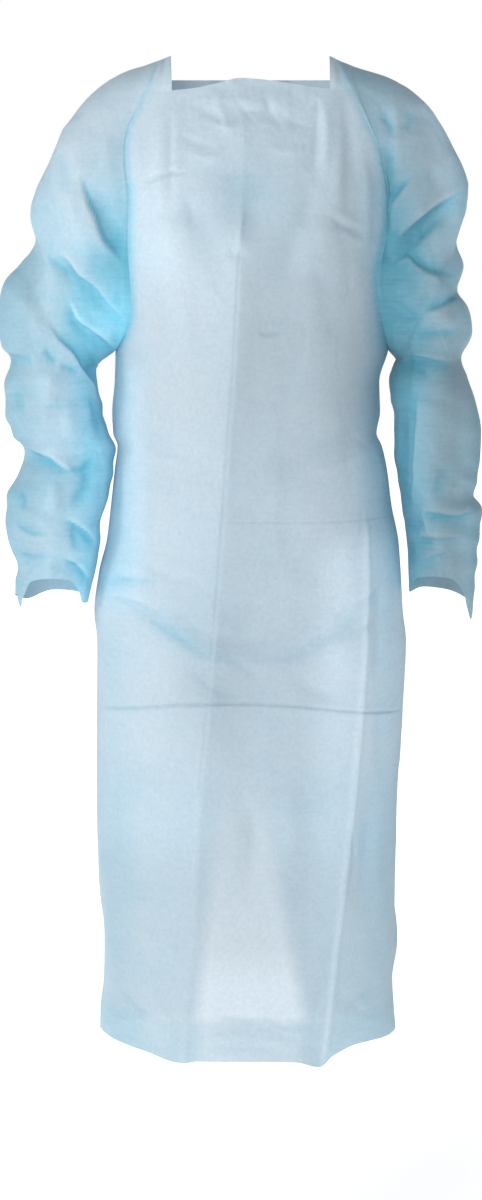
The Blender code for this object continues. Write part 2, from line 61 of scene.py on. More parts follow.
BODY = (
    # z, half_l, half_r, side, front, back, round
    (0.0, 150, 150, 0, -58, 60, 2.2),
    (-20.0, 160, 162, 0, -70, 68, 2.2),
    (-38.0, 170, 172, 0, -78, 76, 2.25),
    (-70.0, 177, 182, 0, -90, 90, 2.3),
    (-110.0, 181, 188, 2, -104, 102, 2.3),
    (-160.0, 180, 190, 3, -117, 108, 2.3),
    (-210.0, 176, 184, 4, -122, 106, 2.3),
    (-262.0, 168, 174, 5, -119, 100, 2.3),
    (-300.0, 160, 164, 5, -114, 96, 2.3),
    (-334.0, 155, 159, 5, -110, 92, 2.3),
    (-371.0, 156, 149, 5, -105, 88, 2.3),
    (-405.0, 159, 150, 4, -101, 85, 2.3),
    (-430.0, 158, 146, 3, -98, 84, 2.3),
    (-444.0, 153, 152, 3, -97, 84, 2.3),
    (-470.0, 156, 158, 4, -100, 90, 2.3),
    (-514.0, 161, 164, 7, -106, 104, 2.3),
    (-554.0, 166, 172, 10, -112, 118, 2.3),
    (-590.0, 175, 175, 12, -117, 126, 2.3),
    (-638.0, 181, 178, 15, -120, 130, 2.3),
    (-674.0, 178, 182, 18, -121, 130, 2.25),
    (-744.0, 179, 179, 24, -122, 126, 2.2),
    (-863.0, 180, 173, 32, -122, 122, 2.1),
    (-958.0, 178, 171, 38, -121, 121, 2.05),
    (-1030.0, 172, 171, 42, -120, 121, 2.0),
    (-1078.0, 173, 169, 44, -120, 122, 2.0),
    (-1115.0, 177, 171, 44, -120, 123, 2.0),
    (-1160.0, 178, 174, 44, -120, 124, 2.0),
)
ARMHOLE = (
    # z, front_l, front_r, back_l, back_r
    (0.0, -106, 103, -106, 103),
    (-7.0, -107, 104, -107, 104),
    (-14.0, -109, 106, -112, 110),
    (-27.0, -114, 110, -121, 119),
    (-43.0, -121, 116, -128, 128),
    (-59.0, -127, 124, -134, 136),
    (-82.0, -138, 135, -141, 145),
    (-108.0, -141, 147, -146, 152),
    (-160.0, -137, 156, -150, 158),
    (-206.0, -138, 150, -151, 157),
    (-246.0, -136, 142, -150, 153),
    (-285.0, -134, 147, -149, 152),
    (-310.0, -140, 152, -150, 154),
    (-325.0, -148, 156, -152, 156),
    (-334.0, -155, 159, -155, 159),
)
NECKLINE = (
    # x, z
    (-88.0, -38),
    (-62.0, -35),
    (-40.0, -30),
    (-12.0, -24),
    (8.0, -25),
    (40.0, -29),
    (70.0, -34),
    (90.0, -36),
)
HEM = (
    # x, z
    (-178.0, -1136),
    (-123.0, -1140),
    (-80.0, -1148),
    (-57.0, -1144),
    (0.0, -1143),
    (52.0, -1145),
    (80.0, -1153),
    (96.0, -1140),
    (126.0, -1133),
    (174.0, -1138),
)
PLEATS = (
    # z, strap_l, fold_a, fold_b
    (-38.0, -88, -6, 90),
    (-130.0, -90, -8, 97),
    (-200.0, -92, -12, 104),
    (-334.0, -98, -20, 116),
    (-440.0, -103, -26, 124),
    (-520.0, -108, -31, 130),
    (-640.0, -116, -39, 130),
    (-744.0, -122, -47, 124),
    (-863.0, -126, -58, 115),
    (-970.0, -126, -66, 104),
    (-1060.0, -126, -73, 93),
    (-1145.0, -126, -80, 81),
)
# Faces across each part of the front panel, of a back panel, and along a strap, and the spacing of the rows.
FRONT_STEPS = (34, 44, 56, 30)
BACK_STEPS = (62, 11, 14, 14)
BACK_STRAP_STEPS = 14
STRAP_STEPS = 16
ROW = 2.7
SLEEVE_ROWS = 9  # rows of the mesh for each row of the tables
PRESSED = (-521.5, -740.0)  # heights of the pressed folds across the front, which rows of the mesh keep to
PRESS_LINE = (
    # x, z: the lower pressed fold rises towards the middle of the front
    (-179, -746),
    (-57, -728),
    (56, -731),
    (179, -750),
)

BODY_FOLDS = (
    # side, x0, z0, x1, z1, half_width, height
    ("front", -8, -110, -80, -1145, 55, 3.4),
    ("front", 130, -500, 81, -1145, 45, 4.5),
    ("front", 86, -44, 100, -150, 22, 3.6),
    ("front", 106, -60, 112, -170, 14, -4.0),
    ("front", -90, -44, -92, -170, 24, 2.5),
    ("front", -104, -640, 0, -672, 40, 3.0),
    ("front", 0, -672, 105, -640, 40, 3.0),
    ("front", -118, -820, -118, -1120, 60, 5.0),
    ("front", 10, -860, 0, -1130, 70, -7.0),
    ("front", -120, -450, -30, -470, 34, -3.5),
    ("front", 130, -436, 40, -466, 34, -4.0),
    ("back", -60, -90, -80, -330, 55, 4.0),
    ("back", 70, -90, 85, -330, 55, 4.0),
    ("back", -120, -456, -70, -600, 40, -5.0),
    ("back", 120, -456, 66, -600, 40, -5.0),
    ("back", -105, -640, -118, -1130, 60, 6.0),
    ("back", 98, -640, 112, -1130, 60, 6.0),
    ("back", -10, -700, 4, -1130, 60, -7.0),
)

# Creases. Each is a line in the front or back view. shape: soft (rounded), pleat (pressed to an edge), line (a narrow
# pressed groove) or ledge (one side stands over the other; the side on the right of the line, going along it, is high).
FRONT_CREASES = (
    # shape, half_width, height, x and z along the line
    ("pleat", 30, 2.0, (-7, -58), (-8, -126), (-12, -226), (-17, -327), (-24, -429), (-37, -608), (-46, -722), (-57, -838), (-66, -1013), (-80, -1152)),
    ("pleat", 26, 1.8, (-7, -58), (-8, -126), (-12, -226), (-17, -327), (-24, -429), (-37, -608)),
    ("pleat", 5, 1.1, (-37, -608), (-46, -722), (-57, -838), (-66, -1013), (-80, -1152)),
    ("pleat", 26, 4.6, (129, -512), (130, -600), (129, -660), (123, -750), (115, -843), (103, -959), (83, -1152)),
    ("line", 2.6, 1.0, (129, -512), (130, -600), (129, -660), (123, -750), (115, -843), (103, -959), (83, -1152)),
    ("soft", 12, -2.6, (142, -560), (143, -640), (139, -720)),
    ("soft", 16, -2.6, (134, -800), (128, -900), (120, -1000)),
    ("soft", 12, 2.2, (150, -830), (146, -920), (150, -1000)),
    ("line", 2.2, -0.9, (-7, -200), (-12, -226), (-17, -327), (-24, -429), (-37, -608), (-46, -722), (-57, -838)),
    ("soft", 7, -1.6, (-88, -41), (-89, -104), (-88, -176)),
    ("soft", 10, 1.6, (-101, -52), (-103, -110), (-99, -190)),
    ("line", 2.0, -1.1, (76, -50), (76, -66)),
    ("soft", 9, 2.2, (80, -40), (84, -80), (81, -140)),
    ("soft", 7, -1.8, (72, -44), (76, -84), (70, -130)),
    ("soft", 9, 2.0, (98, -42), (103, -90), (98, -160)),
    ("soft", 8, -1.8, (110, -64), (116, -110), (121, -170)),
    ("soft", 9, 2.4, (124, -100), (132, -160), (128, -230)),
    ("ledge", 6, 2.8, (-66, -126), (-95, -131), (-122, -141)),
    ("line", 2.4, -3.0, (-122, -141), (-95, -131), (-66, -126)),
    ("pleat", 6, 2.2, (80, -168), (102, -176), (130, -190)),
    ("pleat", 6, -2.4, (86, -178), (106, -190), (132, -200)),
    ("pleat", 6, 2.0, (96, -194), (114, -201), (130, -214)),
    ("pleat", 4, 2.4, (-7, -168), (-11, -192), (-14, -214)),
    ("pleat", 5, -2.4, (-27, -212), (-14, -221), (-3, -215)),
    ("pleat", 5, -1.6, (-74, -150), (-66, -172), (-62, -196)),
    ("pleat", 5, 2.0, (-52, -66), (-26, -78), (0, -76)),
    ("pleat", 5, -1.8, (30, -62), (52, -76), (84, -78)),
    ("pleat", 5, -1.6, (-84, -84), (-60, -98), (-34, -100)),
    ("pleat", 5, 1.8, (-74, -104), (-48, -112), (-26, -108)),
    ("pleat", 5, 1.7, (14, -96), (40, -106), (70, -100)),
    ("pleat", 4, -1.5, (-20, -54), (4, -62), (30, -58)),
    ("line", 1.7, -0.5, (-40, -521), (60, -522), (172, -521)),
    ("pleat", 10, 0.7, (-174, -521), (-60, -521), (60, -522), (172, -521)),
    ("line", 1.7, -2.3, (-180, -746), (-57, -728), (56, -731), (180, -750)),
    ("pleat", 14, 1.6, (-180, -746), (-57, -728), (56, -731), (180, -750)),
    ("soft", 12, -2.0, (-110, -604), (-57, -642), (0, -657), (56, -643), (110, -603)),
    ("soft", 14, 2.0, (-112, -630), (-57, -668), (0, -684), (56, -668), (116, -628)),
    ("soft", 10, -1.5, (-150, -560), (-90, -584), (-30, -592)),
    ("soft", 9, -1.6, (-28, -671), (17, -700)),
    ("soft", 8, -1.4, (-139, -995), (-69, -992)),
    ("line", 1.9, -1.0, (91, -829), (108, -819)),
    ("soft", 6, -1.8, (109, -865), (115, -913), (109, -960)),
    ("pleat", 8, -2.8, (-66, -1086), (-20, -1094), (6, -1097), (40, -1091), (76, -1083)),
    ("soft", 6, 2.2, (-60, -1101), (-8, -1106), (30, -1100), (70, -1098)),
    ("pleat", 6, -2.2, (-57, -1113), (6, -1109), (69, -1117)),
    ("soft", 6, 2.0, (-70, -1123), (0, -1119), (66, -1126)),
    ("pleat", 6, -2.0, (-60, -1133), (6, -1129), (50, -1135)),
    ("pleat", 9, 2.4, (-104, -1060), (-92, -1100), (-82, -1150)),
    ("pleat", 8, -2.2, (20, -1092), (44, -1108), (80, -1104)),
    ("pleat", 8, -2.0, (-150, -1070), (-128, -1092), (-104, -1096)),
    ("pleat", 8, -2.0, (104, -1096), (130, -1078), (150, -1084)),
    ("line", 2.2, -2.4, (4, -306), (22, -309), (42, -305)),
    ("ledge", 9, 2.6, (-96, -624), (-120, -617), (-143, -612), (-170, -610)),
    ("pleat", 8, -2.4, (-170, -594), (-137, -591), (-100, -592)),
    ("pleat", 12, -2.8, (-149, -615), (-97, -644), (-51, -671), (-17, -677)),
    ("pleat", 12, -2.2, (-17, -677), (56, -672), (108, -643), (142, -612)),
    ("ledge", 9, 2.0, (170, -572), (139, -602), (96, -622)),
    ("pleat", 9, -2.4, (170, -616), (137, -638), (96, -656)),
    ("pleat", 11, -2.6, (-79, -678), (-40, -711), (-2, -722)),
    ("soft", 34, -4.0, (-30, -110), (-8, -150), (-4, -210)),
    ("soft", 36, 4.5, (-88, -170), (-84, -214), (-74, -250)),
    ("soft", 34, 4.5, (84, -170), (82, -214), (70, -250)),
    ("soft", 22, -2.5, (-73, -137), (-51, -198), (-22, -262)),
    ("soft", 20, -2.5, (76, -115), (55, -193), (20, -262)),
    ("soft", 15, 2.2, (-60, -46), (-20, -52), (30, -49), (66, -56)),
    ("soft", 8, -1.7, (-66, -50), (-44, -66), (-20, -74)),
    ("soft", 7, -1.5, (18, -34), (22, -60), (40, -84)),
    ("soft", 7, 1.4, (-40, -33), (-34, -58), (-18, -96)),
    ("line", 1.8, -0.8, (-86, -52), (-60, -44), (-30, -44)),
    ("soft", 13, -2.0, (-150, -400), (-110, -430), (-60, -446)),
    ("soft", 10, 1.8, (-148, -430), (-100, -452), (-50, -458)),
    ("soft", 12, -2.4, (148, -396), (110, -430), (56, -450)),
    ("soft", 10, 1.8, (150, -440), (104, -458), (60, -466)),
    ("soft", 16, -1.8, (60, -200), (84, -260), (92, -330)),
    ("soft", 14, 1.6, (112, -210), (126, -270), (130, -330)),
    ("soft", 16, -1.8, (-120, -220), (-100, -290), (-96, -350)),
    ("soft", 14, 1.6, (-84, -240), (-70, -300), (-70, -370)),
    ("soft", 12, -1.6, (40, -690), (78, -716), (112, -722)),
    ("soft", 16, -1.6, (-20, -800), (2, -880), (-6, -960)),
    ("soft", 14, 1.4, (38, -780), (48, -860), (46, -940)),
    ("soft", 10, -1.4, (-160, -820), (-152, -880), (-158, -950)),
    ("soft", 10, -1.4, (150, -700), (146, -780), (150, -850)),
)
BACK_CREASES = (
    # shape, half_width, height, x and z along the line
    ("line", 1.7, -1.2, (-176, -516), (0, -520), (174, -515)),
    ("pleat", 12, 1.0, (-176, -516), (0, -520), (174, -515)),
    ("line", 1.7, -1.8, (-182, -742), (0, -738), (182, -744)),
    ("pleat", 14, 1.4, (-182, -742), (0, -738), (182, -744)),
    ("pleat", 18, 2.4, (-98, -60), (-102, -330), (-108, -600), (-116, -900), (-118, -1150)),
    ("pleat", 18, 2.4, (104, -60), (106, -330), (112, -600), (118, -900), (121, -1150)),
    ("soft", 10, -3.2, (-146, -440), (-90, -446), (-30, -440)),
    ("soft", 9, 2.2, (-140, -418), (-90, -426), (-40, -430)),
    ("soft", 9, 2.4, (-138, -462), (-86, -464), (-34, -456)),
    ("soft", 10, -3.2, (146, -440), (90, -446), (30, -440)),
    ("soft", 9, 2.2, (140, -418), (90, -426), (40, -430)),
    ("soft", 9, 2.4, (138, -462), (86, -464), (34, -456)),
    ("soft", 12, -3.0, (-26, -470), (-34, -540), (-60, -640)),
    ("soft", 12, 2.6, (-12, -476), (-8, -560), (-22, -660)),
    ("soft", 12, -3.0, (24, -472), (30, -540), (52, -630)),
    ("soft", 13, 2.4, (44, -470), (64, -540), (92, -600)),
    ("soft", 13, 2.4, (-48, -470), (-74, -540), (-98, -610)),
    ("soft", 12, -2.6, (-22, -424), (-44, -360), (-70, -300)),
    ("soft", 12, -2.6, (20, -422), (38, -350), (74, -280)),
    ("soft", 11, 2.2, (2, -420), (4, -340), (-10, -250)),
    ("soft", 10, 2.2, (-46, -60), (-58, -140), (-64, -230)),
    ("soft", 10, -2.2, (-28, -62), (-36, -140), (-50, -220)),
    ("soft", 10, 2.2, (44, -62), (54, -150), (70, -230)),
    ("soft", 10, -2.2, (26, -64), (30, -140), (40, -210)),
    ("soft", 12, -2.4, (-140, -180), (-118, -250), (-112, -330)),
    ("soft", 12, -2.4, (142, -170), (122, -240), (116, -320)),
    ("soft", 16, 2.4, (-60, -660), (-52, -820), (-60, -980)),
    ("soft", 14, -2.4, (-30, -700), (-20, -860), (-28, -1040)),
    ("soft", 16, 2.4, (16, -680), (24, -860), (20, -1030)),
    ("soft", 14, -2.4, (58, -690), (66, -850), (60, -1010)),
    ("soft", 12, 2.0, (150, -640), (148, -760), (152, -900)),
    ("soft", 12, 2.0, (-152, -640), (-148, -780), (-152, -920)),
    ("soft", 7, -1.6, (-90, -1090), (-40, -1098), (10, -1090), (70, -1096)),
    ("soft", 7, 1.4, (-70, -1112), (0, -1116), (80, -1110)),
    ("soft", 8, -1.5, (-150, -1010), (-100, -1002)),
    ("soft", 8, -1.5, (92, -980), (140, -994)),
)

SLEEVE_LEFT = (
    # outer_x, outer_z, inner_x, inner_z, y, front, back, round, join
    (-122, -13, -158, -338, 4, 84, 84, 2.2, 0.30),
    (-150, -19, -162, -341, 3, 82, 82, 2.2, 0.58),
    (-175, -33, -166, -344, 2, 80, 80, 2.2, 0.80),
    (-201, -60, -169, -346, 1, 77, 78, 2.2, 0.93),
    (-217, -88, -171, -348, 1, 74, 75, 2.2, 1.0),
    (-230, -119, -173, -349, 0, 71, 72, 2.2, 1.0),
    (-245, -150, -174, -350, 0, 70, 70, 2.2, 1.0),
    (-252, -178, -175, -351, 0, 67, 68, 2.2, 1.0),
    (-246, -207, -175, -352, 0, 60, 62, 2.2, 1.0),
    (-262, -234, -175, -353, 0, 63, 64, 2.2, 1.0),
    (-283, -260, -176, -354, -1, 69, 68, 2.2, 1.0),
    (-289, -296, -177, -357, -2, 70, 68, 2.2, 1.0),
    (-287, -326, -177, -363, -3, 65, 65, 2.2, 1.0),
    (-276, -345, -176, -371, -4, 57, 58, 2.1, 1.0),
    (-283, -374, -173, -386, -5, 62, 62, 2.2, 1.0),
    (-281, -406, -169, -407, -6, 63, 62, 2.2, 1.0),
    (-272, -432, -164, -427, -7, 58, 58, 2.2, 1.0),
    (-259, -451, -156, -447, -8, 50, 51, 2.1, 1.0),
    (-268, -476, -158, -470, -10, 56, 54, 2.2, 1.0),
    (-281, -502, -163, -500, -12, 61, 57, 2.2, 1.0),
    (-282, -530, -172, -532, -14, 59, 55, 2.2, 1.0),
    (-275, -559, -174, -560, -15, 52, 50, 2.2, 1.0),
    (-267, -579, -178, -577, -16, 45, 45, 2.1, 1.0),
    (-271, -592, -183, -589, -17, 45, 45, 2.1, 1.0),
    (-270, -604, -187, -602, -17, 43, 44, 2.1, 1.0),
)
SLEEVE_RIGHT = (
    # outer_x, outer_z, inner_x, inner_z, y, front, back, round, join
    (118, -14, 162, -338, 4, 84, 84, 2.2, 0.30),
    (142, -20, 165, -341, 3, 82, 82, 2.2, 0.58),
    (170, -27, 167, -343, 2, 80, 80, 2.2, 0.80),
    (193, -43, 168, -345, 1, 77, 78, 2.2, 0.93),
    (213, -69, 169, -346, 1, 74, 75, 2.2, 1.0),
    (232, -102, 169, -347, 0, 72, 73, 2.2, 1.0),
    (250, -142, 169, -348, 0, 70, 71, 2.2, 1.0),
    (247, -172, 168, -349, 0, 65, 67, 2.2, 1.0),
    (237, -210, 167, -350, 0, 55, 61, 2.2, 1.0),
    (245, -238, 166, -351, 0, 60, 63, 2.2, 1.0),
    (239, -264, 165, -352, 0, 58, 60, 2.2, 1.0),
    (251, -284, 164, -354, -1, 63, 64, 2.2, 1.0),
    (255, -312, 163, -357, -2, 63, 64, 2.2, 1.0),
    (243, -342, 161, -364, -4, 54, 56, 2.1, 1.0),
    (250, -366, 160, -376, -5, 58, 60, 2.2, 1.0),
    (259, -394, 163, -394, -6, 61, 62, 2.2, 1.0),
    (266, -427, 166, -420, -7, 61, 61, 2.2, 1.0),
    (265, -456, 166, -447, -8, 60, 58, 2.2, 1.0),
    (262, -484, 170, -480, -10, 58, 56, 2.2, 1.0),
    (259, -500, 173, -500, -11, 53, 53, 2.2, 1.0),
    (268, -516, 175, -518, -12, 55, 54, 2.2, 1.0),
    (265, -541, 179, -543, -14, 51, 51, 2.2, 1.0),
    (261, -566, 182, -566, -15, 46, 47, 2.1, 1.0),
    (259, -586, 183, -584, -16, 44, 45, 2.1, 1.0),
    (258, -604, 184, -600, -17, 43, 44, 2.1, 1.0),
)
# angle round the cuff (0 outer, 90 front, 180 inner, 270 back), rise of its edge
CUFF_LEFT = ((0, -12), (14, -9), (30, -24), (40, -12), (60, 8), (90, 11), (120, 8), (138, -4), (150, -20), (180, -22), (225, -14), (270, -12), (315, -20), (360, -12))
CUFF_RIGHT = ((0, -22), (25, -38), (50, -8), (75, 10), (100, 12), (140, 8), (170, -8), (200, -14), (240, -10), (280, -12), (320, -18), (360, -22))
SLEEVE_LEFT_CREASES = (
    # shape, half_width, height, x and z along the line
    ("pleat", 7, -4.0, (-128, -52), (-133, -71), (-139, -91), (-140, -116)),
    ("soft", 9, -4.0, (-136, -140), (-140, -180), (-136, -220)),
    ("ledge", 16, 8.5, (-194, -126), (-188, -147), (-182, -164), (-175, -178), (-166, -202), (-153, -218), (-138, -240)),
    ("soft", 14, -5.0, (-176, -140), (-166, -170), (-150, -200), (-136, -232)),
    ("soft", 15, 3.5, (-214, -110), (-208, -150), (-192, -190), (-168, -226)),
    ("pleat", 16, 3.0, (-202, -80), (-196, -112), (-190, -145)),
    ("soft", 10, -3.0, (-214, -96), (-210, -130), (-206, -160)),
    ("soft", 13, 2.5, (-166, -70), (-160, -120), (-156, -160)),
    ("ledge", 15, 9.0, (-138, -306), (-150, -290), (-163, -275), (-178, -257), (-195, -244), (-206, -230), (-226, -214)),
    ("pleat", 10, -4.5, (-236, -222), (-214, -236), (-196, -252)),
    ("ledge", 13, 8.0, (-148, -344), (-163, -323), (-180, -309), (-197, -295), (-208, -266)),
    ("ledge", 15, 7.0, (-232, -292), (-219, -315), (-201, -333), (-192, -349), (-179, -369), (-167, -405), (-160, -440)),
    ("soft", 10, -5.0, (-186, -340), (-172, -366), (-162, -396)),
    ("soft", 16, 5.0, (-262, -262), (-246, -292), (-232, -320)),
    ("pleat", 8, -4.0, (-234, -324), (-228, -336), (-217, -348)),
    ("pleat", 6, -3.5, (-218, -347), (-206, -351), (-196, -358)),
    ("soft", 8, -3.5, (-286, -346), (-262, -342), (-240, -340)),
    ("soft", 14, 4.0, (-262, -366), (-236, -362), (-212, -366)),
    ("soft", 10, -3.0, (-268, -368), (-262, -392), (-250, -402)),
    ("line", 3.0, -0.9, (-252, -395), (-216, -394), (-198, -398)),
    ("pleat", 14, 2.6, (-232, -352), (-228, -380), (-234, -420)),
    ("soft", 9, -4.5, (-184, -378), (-176, -404), (-170, -434)),
    ("soft", 12, 3.5, (-214, -380), (-206, -410), (-202, -440)),
    ("ledge", 13, 8.0, (-196, -470), (-207, -467), (-220, -460), (-231, -453), (-262, -444)),
    ("pleat", 9, -4.0, (-212, -468), (-190, -464), (-178, -450)),
    ("soft", 10, -5.0, (-185, -455), (-186, -480), (-197, -498), (-206, -508)),
    ("soft", 12, 3.5, (-226, -474), (-222, -500), (-226, -520)),
    ("pleat", 5, -3.0, (-266, -487), (-259, -499), (-261, -516)),
    ("ledge", 11, 7.0, (-178, -560), (-184, -544), (-194, -533), (-214, -518)),
    ("soft", 9, -5.0, (-201, -530), (-198, -548), (-196, -562)),
    ("ledge", 9, 5.0, (-182, -600), (-190, -588), (-200, -575), (-218, -565)),
    ("pleat", 7, -3.0, (-270, -560), (-248, -568), (-224, -566)),
    ("soft", 7, 2.5, (-262, -580), (-240, -577), (-216, -580)),
    ("ledge", 10, 3.5, (-272, -528), (-250, -540), (-226, -542)),
    ("soft", 9, 2.5, (-262, -512), (-244, -520), (-222, -528)),
)
SLEEVE_RIGHT_CREASES = (
    # shape, half_width, height, x and z along the line
    ("pleat", 6, -4.0, (150, -54), (153, -67), (159, -80), (157, -94)),
    ("pleat", 9, 3.0, (160, -34), (164, -60), (165, -80), (166, -110)),
    ("pleat", 8, -3.0, (191, -54), (182, -69), (176, -88)),
    ("pleat", 10, 2.5, (206, -58), (192, -56), (180, -66)),
    ("soft", 8, -4.5, (155, -92), (158, -127), (156, -166)),
    ("ledge", 13, 6.0, (152, -216), (156, -192), (157, -168), (167, -153), (178, -141), (192, -128)),
    ("soft", 8, -4.0, (152, -172), (151, -200)),
    ("ledge", 14, 10.0, (252, -146), (228, -157), (206, -170), (187, -185), (170, -201), (154, -216)),
    ("soft", 13, -7.0, (232, -164), (210, -182), (188, -199), (168, -216)),
    ("ledge", 12, 4.5, (164, -229), (192, -208), (207, -194), (224, -172)),
    ("pleat", 7, -7.0, (144, -214), (152, -222), (164, -224)),
    ("pleat", 14, 5.0, (200, -134), (224, -118), (238, -104)),
    ("ledge", 13, 7.5, (140, -246), (159, -233), (176, -223), (187, -231), (200, -240), (215, -245), (240, -246)),
    ("pleat", 9, -5.0, (180, -222), (192, -232), (206, -240), (236, -243)),
    ("soft", 14, 3.5, (166, -252), (180, -268), (196, -278)),
    ("ledge", 12, 7.0, (196, -290), (205, -285), (218, -281), (246, -270)),
    ("pleat", 8, -3.5, (150, -270), (172, -286), (196, -298)),
    ("pleat", 7, -4.5, (187, -313), (200, -312), (213, -310), (240, -308)),
    ("soft", 12, 4.0, (236, -294), (212, -298), (190, -302)),
    ("ledge", 12, 6.5, (238, -344), (214, -342), (190, -338), (166, -340)),
    ("pleat", 9, -4.0, (166, -336), (178, -345), (194, -352), (204, -366)),
    ("soft", 18, 4.0, (236, -366), (240, -400), (236, -440)),
    ("ledge", 15, 7.0, (183, -518), (184, -500), (186, -450), (190, -389), (196, -368)),
    ("soft", 9, -4.5, (172, -384), (173, -442), (173, -510)),
    ("soft", 8, 3.0, (162, -388), (163, -440), (166, -500)),
    ("soft", 12, -3.5, (228, -456), (216, -480), (212, -504)),
    ("soft", 12, 2.5, (246, -470), (240, -490), (236, -504)),
    ("ledge", 9, 6.0, (262, -508), (245, -516), (231, -519), (214, -516), (188, -514)),
    ("pleat", 6, -4.0, (240, -522), (216, -522), (194, -521)),
    ("pleat", 7, -5.0, (200, -526), (190, -532), (182, -542)),
    ("ledge", 8, 4.5, (246, -542), (224, -544), (203, -545), (184, -544)),
    ("pleat", 6, -3.5, (216, -550), (200, -552), (186, -552)),
    ("ledge", 7, 3.5, (232, -560), (212, -564), (204, -568), (193, -572)),
    ("soft", 8, -4.0, (184, -548), (181, -568), (178, -586)),
    ("pleat", 6, 2.5, (222, -574), (232, -584), (240, -600)),
)

TIES = (
    # name, edge, height, x of its root, x where it enters the knot, width at the root, width at the knot
    ("waist_tie_left", -1, -440.0, 146.0, 14.0, 27.0, 13.0),
    ("waist_tie_right", 1, -440.0, 144.0, 14.0, 27.0, 13.0),
    ("neck_tie_left", -1, -58.0, 72.0, 10.0, 18.0, 9.0),
    ("neck_tie_right", 1, -58.0, 74.0, 10.0, 18.0, 9.0),
)
TIE_ENDS = (
    # name, edge, x and height at the knot, hanging length, splay, width at the knot, width at the end
    ("waist_end_left", -1, 8.0, -452.0, 192.0, 40.0, 12.0, 27.0),
    ("waist_end_right", 1, 8.0, -452.0, 214.0, 26.0, 12.0, 27.0),
    ("neck_end_left", -1, 5.5, -68.0, 116.0, 24.0, 8.0, 18.0),
    ("neck_end_right", 1, 5.5, -68.0, 130.0, 18.0, 8.0, 18.0),
)
KNOTS = (
    # name, height, size along x, y and z
    ("waist_knot", -445.0, (34.0, 17.0, 24.0)),
    ("neck_knot", -62.0, (24.0, 12.0, 17.0)),
)

# ---------------------------------------------------------------------------------------------------------- curves


class Column:
    """One column of a table as a smooth curve that never overshoots, over its first column or over the row number."""

    def __init__(self, table, index, key=0):
        xs = np.arange(len(table), dtype=float) if key is None else np.array([row[key] for row in table], float)
        ys = np.array([row[index] for row in table], float)
        if xs[0] > xs[-1]:
            xs, ys = xs[::-1], ys[::-1]
        slopes = np.diff(ys) / np.diff(xs)
        inner = np.zeros(len(slopes) - 1)
        same = slopes[:-1] * slopes[1:] > 0
        inner[same] = 2 * slopes[:-1][same] * slopes[1:][same] / (slopes[:-1][same] + slopes[1:][same])
        self.xs, self.ys = xs, ys
        self.tangents = np.concatenate(([slopes[0]], inner, [slopes[-1]]))

    def __call__(self, at):
        at = np.clip(np.asarray(at, float), self.xs[0], self.xs[-1])
        k = np.clip(np.searchsorted(self.xs, at, side="right") - 1, 0, len(self.xs) - 2)
        h = self.xs[k + 1] - self.xs[k]
        t = (at - self.xs[k]) / h
        return (
            self.ys[k] * (1 + 2 * t) * (1 - t) ** 2
            + self.tangents[k] * h * t * (1 - t) ** 2
            + self.ys[k + 1] * t * t * (3 - 2 * t)
            + self.tangents[k + 1] * h * t * t * (t - 1)
        )


HALF = {-1: Column(BODY, 1), 1: Column(BODY, 2)}
SIDE_Y, ROUND = Column(BODY, 3), Column(BODY, 6)
MID_Y = {"front": Column(BODY, 4), "back": Column(BODY, 5)}
ARM = {("front", -1): Column(ARMHOLE, 1), ("front", 1): Column(ARMHOLE, 2), ("back", -1): Column(ARMHOLE, 3), ("back", 1): Column(ARMHOLE, 4)}
NECK_TOP, HEM_LINE = Column(NECKLINE, 1), Column(HEM, 1)
PRESS_Z = Column(PRESS_LINE, 1)


def ease(t):
    t = np.clip(t, 0.0, 1.0)
    return t * t * (3 - 2 * t)


def half_width(z, x):
    return np.where(np.asarray(x) < 0, HALF[-1](z), HALF[1](z))


def turn_of(x, z):
    ratio = np.minimum(np.abs(x) / half_width(z, x), 1.0)
    return np.copysign(np.degrees(np.arcsin(ratio ** (ROUND(z) / 2))), x)


def line_distance(points, x, z):
    """Distance from a smooth line, which side of it, and where along it (0 to 1), with the line's length."""
    p = np.array(points, float)
    if len(p) > 2:
        steps = np.linspace(0, len(p) - 1, 5 * (len(p) - 1) + 1)
        k = np.minimum(steps.astype(int), len(p) - 2)
        t = (steps - k)[:, None]
        tangent = np.gradient(p, axis=0)
        p = p[k] * (1 + 2 * t) * (1 - t) ** 2 + tangent[k] * t * (1 - t) ** 2 + p[k + 1] * t * t * (3 - 2 * t) + tangent[k + 1] * t * t * (t - 1)
    seg = np.diff(p, axis=0)
    length = np.hypot(seg[:, 0], seg[:, 1])
    start = np.concatenate(([0.0], np.cumsum(length)))
    best = np.full(x.shape, 1e9)
    side, place = np.zeros(x.shape), np.zeros(x.shape)
    for k in range(len(seg)):
        ox, oz = x - p[k, 0], z - p[k, 1]
        t = np.clip((ox * seg[k, 0] + oz * seg[k, 1]) / length[k] ** 2, 0, 1)
        d = np.hypot(ox - t * seg[k, 0], oz - t * seg[k, 1])
        near = d < best
        best = np.where(near, d, best)
        side = np.where(near, np.sign(ox * seg[k, 1] - oz * seg[k, 0]), side)
        place = np.where(near, start[k] + t * length[k], place)
    return best, side, place / start[-1], start[-1]


